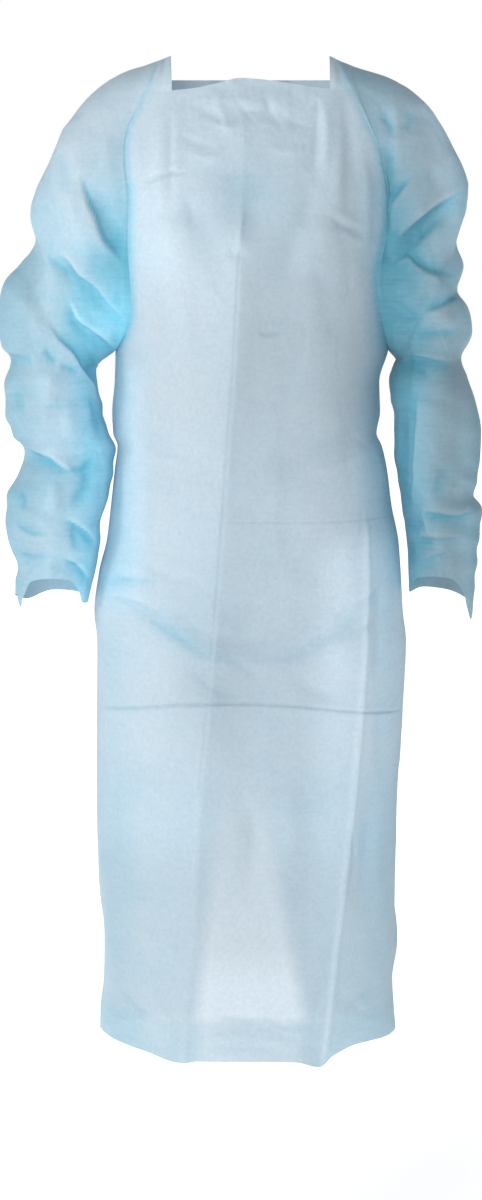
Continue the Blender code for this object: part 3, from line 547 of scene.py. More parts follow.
def crease_height(creases, x, z, gain=1.0):
    """Sum of the profiles of a table of creases at points of the front or back view, and the painted shade each puts
    into the cloth's colour: most just under a ledge and along the bottom of a sharp crease, with a painted highlight
    along a ledge's top edge."""
    total, painted_shade = np.zeros(x.shape), np.zeros(x.shape)
    for shape, half, height, *points in creases:
        pts = np.array(points, float)
        reach = half * 4 + 4
        box = (x > pts[:, 0].min() - reach) & (x < pts[:, 0].max() + reach) & (z > pts[:, 1].min() - reach) & (z < pts[:, 1].max() + reach)
        if not box.any():
            continue
        d, side, place, length = line_distance(points, x[box], z[box])
        fade = min(0.28, 26.0 / length) if shape in ("pleat", "line") and length > 200 else 0.34
        ends = ease(place / fade) * ease((1 - place) / fade)
        if shape == "soft":
            value = np.exp(-2 * (d / half) ** 2)
            # painted shade along the trough of a soft crease
            dark = 0.3 * min(1.0, -height / 5.0) * value if height < 0 else 0.0
        elif shape == "pleat":
            value = np.exp(-(np.sqrt(d * d + 2.2) - 1.48) / half)
            # painted shade along the bottom of a sharp crease
            dark = 0.6 * min(1.0, -height / 4.0) * np.exp(-d / (0.5 * half)) if height < 0 else 0.0
        elif shape == "line":
            value = np.exp(-((d / half) ** 2))
            # painted shade along a pressed groove
            dark = 0.22 * min(1.6, -height) * np.exp(-((d / (half + 0.6)) ** 2)) if height < 0 else 0.0
        else:
            s = side * d
            over = 0.5 * (1 + np.tanh(s / 1.9))
            value = 0.62 * over * np.exp(-np.maximum(s, 0) / (2.0 * half)) - (1 - over) * 0.62 * np.exp(np.minimum(s, 0) / (0.8 * half))
            # painted shade just under the ledge, less a painted highlight along its top edge
            under = (0.5 - 0.5 * np.tanh(s / 1.1)) * (0.6 * np.exp(np.minimum(s, 0) / half) + 0.85 * np.exp(np.minimum(s, 0) / 2.2))
            dark = min(1.0, height / 7.0) * (under - 0.34 * (0.5 + 0.5 * np.tanh((s - 1.5) / 1.2)) * np.exp(-np.maximum(s - 1.5, 0) / 3.5))
        total[box] += height * gain * ends * value
        dark = ends * dark
        painted_shade[box] = np.where(np.abs(dark) > np.abs(painted_shade[box]), dark, painted_shade[box])
    return total, painted_shade


def fold_height(kind, x, z):
    total = np.zeros(x.shape)
    for name, x0, z0, x1, z1, half, height in BODY_FOLDS:
        if name != kind:
            continue
        ax, az = x1 - x0, z1 - z0
        length = math.hypot(ax, az)
        s = ((x - x0) * ax + (z - z0) * az) / length
        d = ((x - x0) * az - (z - z0) * ax) / length
        fade = max(0.18 * length, 52)
        reach = ease(s / fade + 0.5) * ease((length - s) / fade + 0.5)
        total += height * reach * np.exp(-((d / half) ** 2) * 2)
    return total


def field(x, y, z, size, seed, octaves=2):
    """Smooth noise between about -1 and 1."""
    out = np.empty(x.size)
    scale = 1.0 / size
    flat = np.stack((x.ravel(), y.ravel(), z.ravel()), axis=1) * scale + np.array((seed * 7.31, seed * 3.17, seed * 11.9))
    for k, p in enumerate(flat.tolist()):
        out[k] = noise.fractal(p, 1.0, 2.1, octaves, noise_basis="PERLIN_ORIGINAL")
    return out.reshape(x.shape)


def crumple(x, y, z, size, seed):
    """Soft facets between thin ridges and grooves, as in film-backed cloth that has been folded and handled."""
    a = field(x, y, z, size, seed, 1)
    b = field(x + 0.35 * size * a, y, z - 0.3 * size * a, size * 0.62, seed + 5, 1)
    return (np.abs(b) - 0.25) * 1.3 + 0.5 * a


def facets(x, y, z, size, seed, tilt=0.3):
    """Flat patches that lean to all sides and meet in soft creases, as in thin stiff cloth."""
    out = np.empty(x.size)
    warp = field(x, y, z, size * 1.7, seed + 3, 1).ravel() * 0.3
    flat = np.stack((x.ravel(), y.ravel(), z.ravel() * 0.7), axis=1) / size + np.array((seed * 5.3, seed * 2.9, seed * 9.7)) + warp[:, None]
    for k, p in enumerate(flat.tolist()):
        apart, seeds = noise.voronoi(p)
        one, two = seeds[0], seeds[1]
        lean_one = math.sin(one[0] * 12.9 + one[2] * 7.1) * (p[0] - one[0]) + math.sin(one[1] * 9.7 + one[2] * 3.3) * (p[2] - one[2])
        lean_two = math.sin(two[0] * 12.9 + two[2] * 7.1) * (p[0] - two[0]) + math.sin(two[1] * 9.7 + two[2] * 3.3) * (p[2] - two[2])
        share = min(1.0, (apart[1] - apart[0]) / 0.22)
        share = 0.5 + 0.5 * share * (2 - share)
        out[k] = (lean_one * share + lean_two * (1 - share)) - tilt * math.exp(-((apart[1] - apart[0]) / 0.09) ** 2)
    return out.reshape(x.shape)


def crinkle(x, y, z, amount, seed):
    return amount * (1.0 * crumple(x, y, z, 64.0, seed) + 0.42 * crumple(x, y, z, 27.0, seed + 11))


def body_points(turn, z, side, lift=0.0, creases=(), seed=1, amount=0.9, calm=None):
    """Points of the body's sections, for whole arrays of turns and heights."""
    n = 2 / ROUND(z)
    a = np.radians(turn)
    hw = half_width(z, turn)
    x = hw * np.copysign(np.abs(np.sin(a)) ** n, a)
    y_side, y_mid = SIDE_Y(z), MID_Y[side](z)
    y = y_side + (y_mid - y_side) * np.abs(np.cos(a)) ** n
    fade = ease(np.abs(np.cos(a)) * 2.2)
    more = fade * fold_height(side, x, z)
    # heights of the creases and their painted shade
    raised, painted_shade = crease_height(creases, x, z)
    more = more + ease(np.abs(np.cos(a)) * 5.0) * raised
    rough = crinkle(x, y, z, amount * 0.5, seed) + amount * 1.5 * facets(x, y, z, 105.0, seed)
    if side == "front":
        busy = 1.4 * ease((z + 118) / 60) * np.exp(-((x / 92) ** 4)) + 1.1 * ease((-z - 1066) / 30) + 0.35 * np.exp(-(((z + 452) / 40) ** 2)) + 0.35 * np.exp(-(((z + 640) / 46) ** 2))
        rough = rough + busy * (0.7 * crumple(x, y, z * 1.35, 30.0, seed + 17) + 0.4 * crumple(x, y, z * 1.2, 15.0, seed + 19))
    if calm is not None:
        rough = rough * calm
    more = more + rough + lift
    ox, oy = np.sin(a) / hw, np.cos(a) / (y_mid - y_side)
    size = np.hypot(ox, oy)
    return np.stack((x + ox / size * more, y + oy / size * more, z), axis=-1), painted_shade


def spaced(steps, tight=0.45):
    """Even steps from 0 to 1, drawn towards both ends, where a pressed fold runs."""
    t = np.linspace(0, 1, steps + 1)
    return t - tight * np.sin(2 * np.pi * t) / (2 * np.pi)


def row_heights(top, bottom):
    zs = list(np.linspace(top, UNDERARM_Z, int(round((top - UNDERARM_Z) / ROW)) + 1))
    low = np.linspace(UNDERARM_Z, bottom, int(round((UNDERARM_Z - bottom) / ROW)) + 1)[1:]
    for z in low:
        if all(abs(z - p) > 4.0 for p in PRESSED):
            zs.append(z)
    for p in PRESSED:
        zs += [p + d for d in (-3.0, -1.9, -0.9, 0.0, 0.9, 1.9, 3.0)]
    return np.array(sorted(zs, reverse=True))


LEVELS = row_heights(NECK_ROW_Z, HEM_Z)
UPPER = int(np.argmin(np.abs(LEVELS - UNDERARM_Z)))  # row of the underarm


def side_limit(z, edge, side):
    limit = turn_of(ARM[side, edge](z), z)
    return np.where(z <= UNDERARM_Z + 1e-6, math.copysign(90.0, edge), limit)


def front_grid():
    z = LEVELS
    stations = [turn_of(Column(PLEATS, k)(z), z) for k in (1, 2, 3)]
    knots = [side_limit(z, -1, "front"), *stations, side_limit(z, 1, "front")]
    columns = []
    for k, steps in enumerate(FRONT_STEPS):
        t = spaced(steps)[: None if k == len(FRONT_STEPS) - 1 else -1]
        columns.append(knots[k][:, None] + (knots[k + 1] - knots[k])[:, None] * t[None, :])
    turn = np.concatenate(columns, axis=1)
    zz = np.repeat(z[:, None], turn.shape[1], axis=1)
    x = half_width(zz, turn) * np.copysign(np.abs(np.sin(np.radians(turn))) ** (2 / ROUND(zz)), turn)
    zz = zz + (NECK_TOP(x) - NECK_ROW_Z) * np.interp(-zz, (38, 68, 106), (1.0, 0.5, 0.0))
    zz = zz + (PRESS_Z(x) - PRESSED[1]) * ease(1 - np.abs(zz - PRESSED[1]) / 120)
    zz = zz + (HEM_LINE(x) - HEM_Z) * np.interp(-zz, (1000, 1145), (0.0, 1.0))
    return body_points(turn, zz, "front", creases=FRONT_CREASES, seed=1, amount=0.85, calm=edge_calm(turn, zz, "front"))


def edge_calm(turn, z, side):
    """0 at a panel's sides, where it meets its neighbours, 1 inside it."""
    limits = np.where(turn < 0, -side_limit(z, -1, side), side_limit(z, 1, side))
    return ease((limits - np.abs(turn)) / 7.0)


def strap_rows(row, columns, edge, side):
    made = []
    for k in range(1, STRAP_STEPS + 1):
        t = k / STRAP_STEPS
        a = t * math.pi / 2
        start = row[columns]
        share = np.linspace(0, 1, len(columns))
        top = STRAP_TOP[1] + (STRAP_TOP[0] - STRAP_TOP[1]) * share
        y = start[:, 1] * math.cos(a)
        z = start[:, 2] + (top - start[:, 2]) * math.sin(a)
        outer = ARM[side, edge](z)
        inner = start[-1, 0] + (edge * STRAP_NECK_X - start[-1, 0]) * ease(t)
        x = outer + (inner - outer) * share
        ripple = 0.8 * math.sin(math.pi * t) * np.sin(share * 9 + edge) * np.sin(np.pi * share)
        made.append(np.stack((x, y * (1 + 0.01 * ripple), z + ripple), axis=-1))
    return np.array(made)


def back_grid(edge):
    z = LEVELS.copy()
    z = np.where(z > -68.0, BACK_ROW_Z + (z - NECK_ROW_Z) * (68.0 + BACK_ROW_Z) / (68.0 + NECK_ROW_Z), z)
    knots = [side_limit(z, edge, "back"), *(edge * turn_of(np.full(z.shape, v), z) for v in (LAP + LAP_EASE, LAP, 0.0, -LAP))]
    columns = []
    for k, steps in enumerate(BACK_STEPS):
        t = np.linspace(0, 1, steps + 1)[: None if k == len(BACK_STEPS) - 1 else -1]
        columns.append(knots[k][:, None] + (knots[k + 1] - knots[k])[:, None] * t[None, :])
    turn = np.concatenate(columns, axis=1)
    zz = np.repeat(z[:, None], turn.shape[1], axis=1)
    zz = zz + (-1143.0 - HEM_Z) * np.interp(-zz, (1000, 1145), (0.0, 1.0))
    x = half_width(zz, turn) * np.copysign(np.abs(np.sin(np.radians(turn))) ** (2 / ROUND(zz)), turn)
    lift = np.zeros(turn.shape)
    if edge > 0:
        lift = LAP_LIFT * ease((LAP + LAP_EASE - x) / (LAP_EASE - 2))
        lift = lift + 5.0 * np.sin(np.pi * np.clip((zz + 1085) / 100, 0, 1)) * ease((np.abs(turn) - 62) / 20) * (1 - ease((np.abs(turn) - 84) / 6))
    calm = edge_calm(turn, zz, "back")
    return body_points(turn, zz, "back", lift, BACK_CREASES, seed=2, amount=0.95, calm=np.where(np.abs(x) < 80, 1.0, calm))


# --------------------------------------------------------------------------------------------------------- sleeves


def seam_rim(edge, front, front_strap, back, back_strap):
    """The armhole as a loop of the panels' own edge points: shoulder, front, underarm, back."""
    side = 0 if edge < 0 else front.shape[1] - 1
    top = (front_strap[-1][0] + back_strap[-1][0]) / 2
    under = (front[UPPER, side] + back[UPPER, 0]) / 2
    down = [*front_strap[::-1][1:, 0], *front[:UPPER, side]]
    up = [*back[:UPPER, 0][::-1], *back_strap[:-1, 0]]
    return np.array([top, *down, under, *up])


def grid_normals(points, closed):
    """Outward normals of a grid of points, to one side or the other by the order of its rows."""
    along = np.gradient(points, axis=0)
    if closed:
        across = (np.roll(points, -1, axis=1) - np.roll(points, 1, axis=1)) / 2
    else:
        across = np.gradient(points, axis=1)
    normal = np.cross(along, across)
    return normal / np.maximum(np.linalg.norm(normal, axis=-1, keepdims=True), 1e-9)


def sleeve_grid(edge, rim):
    table = SLEEVE_LEFT if edge < 0 else SLEEVE_RIGHT
    cuff = Column(CUFF_LEFT if edge < 0 else CUFF_RIGHT, 1)
    front_table = SLEEVE_LEFT_CREASES if edge < 0 else SLEEVE_RIGHT_CREASES
    count = len(rim)
    half = count // 2
    top, under = rim[0][2], rim[half][2]
    even = 2 * np.pi * np.arange(count) / count
    own = np.arccos(np.clip(2 * (rim[:, 2] - under) / (top - under) - 1, -1, 1))
    own = np.where(np.arange(count) <= half, own, 2 * np.pi - own)
    c, s = np.cos(own), np.sin(own)
    low = (1 - c) / 2
    way = np.stack((edge * (1.0 - 0.4 * low**4), -0.25 * s, -0.25 * c * (c > 0) - 0.85 * low**4), axis=-1)
    way = way / np.linalg.norm(way, axis=1, keepdims=True) * (6.0 - 2.0 * low**4)[:, None]
    first = rim + way
    columns = [Column(table, k, None) for k in range(9)]
    rows, angles = [rim, rim + way * 0.34, rim + way * 0.68, first], [own] * 4
    places = [-2.0, -1.7, -1.35, -1.0]
    last = len(table) - 1
    for v in np.linspace(0, last, last * SLEEVE_ROWS + 1):
        ox, oz, ix, iz, y, front, back, rounding, join = (float(col(v)) for col in columns)
        even_x, even_front, even_back = (float(np.mean(columns[k](np.clip(v + np.arange(-3, 4), 0, last)))) for k in (0, 5, 6))
        a = own + (even - own) * ease(v / 12)
        n = 2 / rounding
        ca = np.copysign(np.abs(np.cos(a)) ** n, np.cos(a))
        sa = np.copysign(np.abs(np.sin(a)) ** n, np.sin(a))
        outer = np.maximum(ease(np.cos(a)), ease((v - 14) / 2))
        ox = even_x + (ox - even_x) * outer if v > 4 else ox
        depth = np.where(sa > 0, even_front + (front - even_front) * outer, even_back + (back - even_back) * outer)
        q = np.stack(((ox + ix) / 2 + (ox - ix) / 2 * ca, y - sa * depth, (oz + iz) / 2 + (oz - iz) / 2 * ca), axis=-1)
        share = max(0.0, (v - last + 4) / 4)
        q[:, 2] += cuff(np.degrees(a) % 360) * ease(share)
        rows.append(first + (q - first) * join)
        angles.append(a)
        places.append(v)
    grid, angle, place = np.array(rows), np.array(angles), np.array(places)[:, None]
    near = place[:, 0] < 6
    for _ in range(10):  # the first rows run smoothly on into the sleeve
        soft = grid.copy()
        soft[1:-1] = (grid[:-2] + grid[2:] + 2 * grid[1:-1]) / 4
        grid[1:-1][near[1:-1]] = soft[1:-1][near[1:-1]]
    sine = np.sin(angle)
    x, z = grid[..., 0], grid[..., 2]
    calm = ease((place + 2.0) / 4.5)
    # heights of the creases and their painted shade, on the front and the back of the sleeve
    front_part, front_painted_shade = (part * ease(sine * 2.2) for part in crease_height(front_table, x, z, 0.82))
    shifted = [(shape, h * 1.1, v * 0.9, *((px + edge * 5, pz + (14 if k % 2 else -13)) for px, pz in pts)) for k, (shape, h, v, *pts) in enumerate(front_table)]
    back_part, back_painted_shade = (part * ease(-sine * 2.2) for part in crease_height(shifted, x, z, 0.74))
    rough = crinkle(x, grid[..., 1], z, 0.45, 3 + edge) + 1.7 * facets(x, grid[..., 1], z, 62.0, 8 + edge)
    bunch = bunching(x, grid[..., 1], z, edge, place)
    normal = grid_normals(grid, True) * (1.0 if edge > 0 else -1.0)
    centre = grid.mean(axis=1, keepdims=True)
    flip = np.sign(np.sum(normal[40] * (grid[40] - centre[40]), axis=-1).mean())
    height = (front_part + back_part + rough + bunch) * calm
    made = grid + normal * flip * height[..., None]
    for _ in range(6):  # rows that lie close together run smoothly on
        step = np.linalg.norm(made[2:] - made[:-2], axis=-1, keepdims=True) / 2
        soft = (made[:-2] + made[2:] + 2 * made[1:-1]) / 4
        made[1:-1] += (soft - made[1:-1]) * ease((2.1 - step) / 0.8) * (place[1:-1, :, None] > 0.5)
    return made, height, front_painted_shade + back_painted_shade, place


def bunching(x, y, z, edge, place):
    """Small uneven gathers across the sleeve, deeper where it is pushed together."""
    tilt = z + 0.35 * edge * x + 9.0 * field(x, y, z, 90.0, 21 + edge, 1)
    wave = np.sin(tilt * 2 * np.pi / 31.0 + 2.2 * field(x, y, z, 60.0, 31 + edge, 1))
    mask = np.clip(field(x, y, z, 70.0, 41 + edge, 1) * 1.6 + 0.45, 0, 1)
    return 0.9 * wave * mask * ease((place - 9) / 6)


def clear_of_body(points, margin=1.4):
    """Moves the points of a sleeve below the underarm just outside the body's side."""
    z = points[..., 2]
    edge = np.sign(points[..., 0])
    hw = np.where(edge < 0, HALF[-1](z), HALF[1](z))
    y0 = SIDE_Y(z)
    depth = np.where(points[..., 1] < y0, np.abs(MID_Y["front"](z) - y0), np.abs(MID_Y["back"](z) - y0))
    ratio = np.clip(np.abs(points[..., 1] - y0) / depth, 0, 0.999)
    wall = hw * (1 - ratio ** ROUND(z)) ** (1 / ROUND(z))
    below = ease((UNDERARM_Z - 2 - z) / 10)
    least = (wall + margin) * below
    x = np.abs(points[..., 0])
    over = np.maximum(least - x, 0)
    points[..., 0] += edge * over
    return points


# ----------------------------------------------------------------------------------------------------------- meshes


def new_object(name, points, faces, mat, tone, tint_and_painted_light=None):
    mesh = bpy.data.meshes.new(name)
    points = np.asarray(points, float).reshape(-1, 3) * MM
    faces = np.asarray(faces, np.int32)
    mesh.vertices.add(len(points))
    mesh.vertices.foreach_set("co", points.ravel().astype(np.float32))
    mesh.loops.add(faces.size)
    mesh.loops.foreach_set("vertex_index", faces.ravel())
    mesh.polygons.add(len(faces))
    mesh.polygons.foreach_set("loop_start", np.arange(0, faces.size, faces.shape[1], dtype=np.int32))
    mesh.update(calc_edges=True)
    mesh.validate()
    mesh.polygons.foreach_set("use_smooth", np.ones(len(mesh.polygons), bool))
    # tone, and a brightness factor that carries painted light and shade as well as tint
    for word, values in (("tone", tone), ("tint_and_painted_light", np.ones(len(points)) if tint_and_painted_light is None else tint_and_painted_light)):
        attribute = mesh.attributes.new(word, "FLOAT", "POINT")
        attribute.data.foreach_set("value", np.asarray(values, np.float32).ravel())
    made = bpy.data.objects.new(name, mesh)
    bpy.context.collection.objects.link(made)
    mesh.materials.append(mat)
    return made


def quads(rows, columns, closed=False, flip=False, offset=0):
    r, c = np.meshgrid(np.arange(rows - 1), np.arange(columns if closed else columns - 1), indexing="ij")
    n = (c + 1) % columns
    corners = [r * columns + c, (r + 1) * columns + c, (r + 1) * columns + n, r * columns + n]
    if flip:
        corners = corners[::-1]
    return np.stack(corners, axis=-1).reshape(-1, 4) + offset


def panel(name, grid, painted_shade, straps, mat, flip=False):
    """A panel's grid with its straps, which grow from its first row. straps: (columns, rows)."""
    rows, columns = grid.shape[:2]
    points = [grid.reshape(-1, 3)]
    faces = [quads(rows, columns, flip=flip)]
    count = rows * columns
    for cols, strip in straps:
        index = np.concatenate((np.array(cols)[None, :], count + np.arange(strip.shape[0] * len(cols)).reshape(strip.shape[0], -1)))
        a, b, c, d = index[1:, :-1], index[:-1, :-1], index[:-1, 1:], index[1:, 1:]
        order = (a, b, c, d) if (cols[0] < cols[-1]) != flip else (d, c, b, a)
        faces.append(np.stack(order, axis=-1).reshape(-1, 4))
        points.append(strip.reshape(-1, 3))
        count += strip.shape[0] * len(cols)
    points = np.concatenate(points)
    tone, tint_and_painted_light = body_tone_and_painted_light(points)
    own = rows * columns
    # painted shade of the creases: deeper in colour and darker under ledges and along crease bottoms, lighter along
    # ledge tops
    tone[:own] -= 0.22 * painted_shade.ravel()
    tint_and_painted_light[:own] *= 1 - 0.16 * painted_shade.ravel()
    return new_object(name, points, np.concatenate(faces), mat, tone, tint_and_painted_light)


def tree_of(*objects):
    points, faces = [], []
    for item in objects:
        mesh = item.data
        co = np.empty(len(mesh.vertices) * 3, np.float32)
        mesh.vertices.foreach_get("co", co)
        base = len(points)
        points += [tuple(p) for p in (co.reshape(-1, 3) / MM).tolist()]
        faces += [tuple(v + base for v in poly.vertices) for poly in mesh.polygons]
    return BVHTree.FromPolygons(points, faces)


def ribbon(name, route, cloth, lift, mat, seed):
    """A tie or a hanging end: a strip on the cloth below its route (x, z, width), moved out by lift."""
    points = np.array([(x, z) for x, z, _ in route])
    across_count = 7
    rows = []
    for k, p in enumerate(points):
        way = points[min(k + 1, len(points) - 1)] - points[max(k - 1, 0)]
        way /= np.linalg.norm(way)
        side = np.array((way[1], -way[0])) * route[k][2] / 2
        face, normal, _, _ = cloth.ray_cast((p[0], 400.0, p[1]), (0.0, -1.0, 0.0))
        t = k / (len(points) - 1)
        row = []
        for j in range(across_count):
            u = 2 * j / (across_count - 1) - 1
            x, z = p + side * u
            hit = cloth.ray_cast((x, 400.0, z), (0.0, -1.0, 0.0))[0]
            y = hit[1] if hit is not None else face[1]
            pucker = 0.5 * math.sin(3.1 * u + 5.0 * t + seed) * math.exp(-3.0 * min(t, 1 - t))
            wave = 0.9 * (1 + math.sin(t * 11.0 + seed * 2.0)) * math.sin(math.pi * t)
            row.append((x, y + lift + wave + abs(pucker) + 0.35 * (1 - u * u), z))
        rows.append(row)
    grid = np.array(rows)
    for _ in range(2):
        grid[1:-1, :, 1] = np.maximum(grid[1:-1, :, 1], (grid[:-2, :, 1] + grid[2:, :, 1]) / 2)
    return new_object(name, grid, quads(*grid.shape[:2]), mat, np.full(grid.shape[:2], 0.35))


def band_route(edge, z, x_root, x_knot, width, narrow):
    route = []
    for k in range(49):
        x = x_root + (x_knot - x_root) * (k / 48) ** 1.2
        route.append((edge * x, z - 4.0 * float(ease((40.0 - x) / 30.0)), narrow + (width - narrow) * float(ease((x - x_knot) / 34.0))))
    return route


def end_route(edge, x, z, drop, splay, narrow, width):
    route = []
    for k in range(57):
        t = k / 56
        sway = 2.0 * math.sin(t * 6.0 + edge)
        route.append((edge * (x + splay * t**0.8) + sway * t, z - drop * t, narrow + (width - narrow) * float(ease(t * 4.5))))
    return route


def knot(name, centre, size, mat):
    """A flat tie drawn through itself: a tight band round a gathered bundle, with soft pleats."""
    points, faces = [], []
    columns, rows = 48, 30
    for r in range(rows + 1):
        v = r / rows
        polar = math.pi * v
        for k in range(columns):
            a = 2 * math.pi * k / columns
            x, y, z = math.cos(polar), math.sin(polar) * math.cos(a), math.sin(polar) * math.sin(a)
            band = math.exp(-((x / 0.34) ** 4))
            swell = 1.0 + 0.16 * band - 0.20 * math.exp(-(((abs(x) - 0.46) / 0.12) ** 2))
            pleat = 0.05 * math.cos(9 * a + 2.5 * x) * (1 - band) + 0.028 * math.cos(26 * (x - 0.25 * z)) * band
            reach = swell + pleat
            points.append((centre[0] + x * size[0] / 2, centre[1] + y * reach * size[1] / 2.1, centre[2] + z * reach * size[2] / 2.1))
    for r in range(rows):
        for k in range(columns):
            n = (k + 1) % columns
            faces.append((r * columns + k, r * columns + n, (r + 1) * columns + n, (r + 1) * columns + k))
    return new_object(name, np.array(points), faces, mat, np.full(len(points), 0.2))


# -------------------------------------------------------------------------------------------------------- materials


def cloth_material(name, seed, glowing=0.24, depth=1.0):
    mat = bpy.data.materials.new(name)
    mat.use_nodes = True
    tree = mat.node_tree
    nodes, links = tree.nodes, tree.links
    nodes.clear()
    out = nodes.new("ShaderNodeOutputMaterial")
    coords = nodes.new("ShaderNodeTexCoord")

    def texture(kind, scale, detail=2.0, rough=0.5):
        node = nodes.new(kind)
        node.inputs["Scale"].default_value = scale
        if "Detail" in node.inputs:
            node.inputs["Detail"].default_value = detail
        if "Roughness" in node.inputs:
            node.inputs["Roughness"].default_value = rough
        links.new(coords.outputs["Object"], node.inputs["Vector"])
        return node

    cloud = texture("ShaderNodeTexNoise", 16.0 + seed, 4.0, 0.6)
    fleck = texture("ShaderNodeTexNoise", 620.0, 2.0, 0.7)
    fibre = texture("ShaderNodeTexNoise", 210.0, 3.0, 0.75)

    tone = nodes.new("ShaderNodeAttribute")
    tone.attribute_name = "tone"
    stretch = nodes.new("ShaderNodeMapping")
    stretch.inputs["Scale"].default_value = (0.12, 0.12, 1.0)
    links.new(coords.outputs["Object"], stretch.inputs["Vector"])
    streak = texture("ShaderNodeTexNoise", 260.0, 3.0, 0.65)
    links.new(stretch.outputs["Vector"], streak.inputs["Vector"])
    banded = nodes.new("ShaderNodeMath")
    banded.operation = "MULTIPLY_ADD"
    banded.inputs[1].default_value = 0.22
    links.new(streak.outputs["Fac"], banded.inputs[0])
    links.new(tone.outputs["Fac"], banded.inputs[2])
    spread = nodes.new("ShaderNodeMath")
    spread.operation = "MULTIPLY_ADD"
    spread.inputs[1].default_value = 0.24
    links.new(cloud.outputs["Fac"], spread.inputs[0])
    links.new(banded.outputs[0], spread.inputs[2])
    ramp = nodes.new("ShaderNodeValToRGB")
    ramp.color_ramp.elements[0].position = 0.05
    ramp.color_ramp.elements[0].color = (0.11, 0.46, 0.62, 1)
    ramp.color_ramp.elements[1].position = 1.0
    ramp.color_ramp.elements[1].color = (0.72, 0.81, 0.875, 1)
    for position, colour in ((0.30, (0.28, 0.61, 0.765)), (0.48, (0.45, 0.695, 0.825)), (0.68, (0.61, 0.755, 0.85))):
        ramp.color_ramp.elements.new(position).color = (*colour, 1)
    links.new(spread.outputs[0], ramp.inputs["Fac"])

    speck = nodes.new("ShaderNodeMapRange")
    speck.inputs["From Min"].default_value = 0.3
    speck.inputs["From Max"].default_value = 0.7
    speck.inputs["To Min"].default_value = 0.94
    speck.inputs["To Max"].default_value = 1.05
    links.new(fibre.outputs["Fac"], speck.inputs["Value"])
    # brightness factor per point, which carries painted light and shade as well as tint
    tint_and_painted_light = nodes.new("ShaderNodeAttribute")
    tint_and_painted_light.attribute_name = "tint_and_painted_light"
    dimmed = nodes.new("ShaderNodeMath")
    dimmed.operation = "MULTIPLY"
    links.new(speck.outputs["Result"], dimmed.inputs[0])
    links.new(tint_and_painted_light.outputs["Fac"], dimmed.inputs[1])
    tinted = nodes.new("ShaderNodeVectorMath")
    tinted.operation = "SCALE"
    links.new(ramp.outputs["Color"], tinted.inputs[0])
    links.new(dimmed.outputs[0], tinted.inputs["Scale"])

    # fine embossing: a close diagonal grid of pressed points under the fibre
    grain = nodes.new("ShaderNodeVectorMath")
    grain.operation = "DOT_PRODUCT"
    links.new(coords.outputs["Object"], grain.inputs[0])
    waves = []
    for direction in ((1.0, 0.6, 0.62), (1.0, 0.6, -0.62)):
        dot = nodes.new("ShaderNodeVectorMath")
        dot.operation = "DOT_PRODUCT"
        dot.inputs[1].default_value = tuple(c * 2 * math.pi / 0.0026 for c in direction)
        links.new(coords.outputs["Object"], dot.inputs[0])
        sine = nodes.new("ShaderNodeMath")
        sine.operation = "SINE"
        links.new(dot.outputs["Value"], sine.inputs[0])
        waves.append(sine)
    nodes.remove(grain)
    emboss = nodes.new("ShaderNodeMath")
    emboss.operation = "MULTIPLY"
    links.new(waves[0].outputs[0], emboss.inputs[0])
    links.new(waves[1].outputs[0], emboss.inputs[1])
    height = nodes.new("ShaderNodeMath")
    height.operation = "MULTIPLY_ADD"
    height.inputs[1].default_value = 0.12
    links.new(emboss.outputs[0], height.inputs[0])
    links.new(fibre.outputs["Fac"], height.inputs[2])
    total = nodes.new("ShaderNodeMath")
    total.operation = "MULTIPLY_ADD"
    total.inputs[1].default_value = 0.35
    links.new(fleck.outputs["Fac"], total.inputs[0])
    links.new(height.outputs[0], total.inputs[2])
    bump = nodes.new("ShaderNodeBump")
    bump.inputs["Strength"].default_value = 0.55
    bump.inputs["Distance"].default_value = 0.00045 * depth
    links.new(total.outputs[0], bump.inputs["Height"])

    shader = nodes.new("ShaderNodeBsdfPrincipled")
    shader.inputs["Metallic"].default_value = 0.0
    shader.inputs["Roughness"].default_value = 0.68
    shader.inputs["Specular IOR Level"].default_value = 0.28
    shader.inputs["Sheen Weight"].default_value = 0.12
    shader.inputs["Sheen Roughness"].default_value = 0.6
    links.new(tinted.outputs["Vector"], shader.inputs["Base Color"])
    links.new(bump.outputs["Normal"], shader.inputs["Normal"])

    glow = nodes.new("ShaderNodeBsdfTranslucent")
    through = nodes.new("ShaderNodeGamma")
    through.inputs["Gamma"].default_value = 1.0
    links.new(tinted.outputs["Vector"], through.inputs["Color"])
    links.new(through.outputs["Color"], glow.inputs["Color"])
    links.new(bump.outputs["Normal"], glow.inputs["Normal"])
    both = nodes.new("ShaderNodeMixShader")
    both.inputs["Fac"].default_value = glowing
    links.new(shader.outputs[0], both.inputs[1])
    links.new(glow.outputs[0], both.inputs[2])
    clear = nodes.new("ShaderNodeBsdfTransparent")
    clear.inputs["Color"].default_value = (0.78, 0.92, 1.0, 1)
    final = nodes.new("ShaderNodeMixShader")
    final.inputs["Fac"].default_value = 0.05
    links.new(both.outputs[0], final.inputs[1])
    links.new(clear.outputs[0], final.inputs[2])
    links.new(final.outputs[0], out.inputs["Surface"])
    return mat


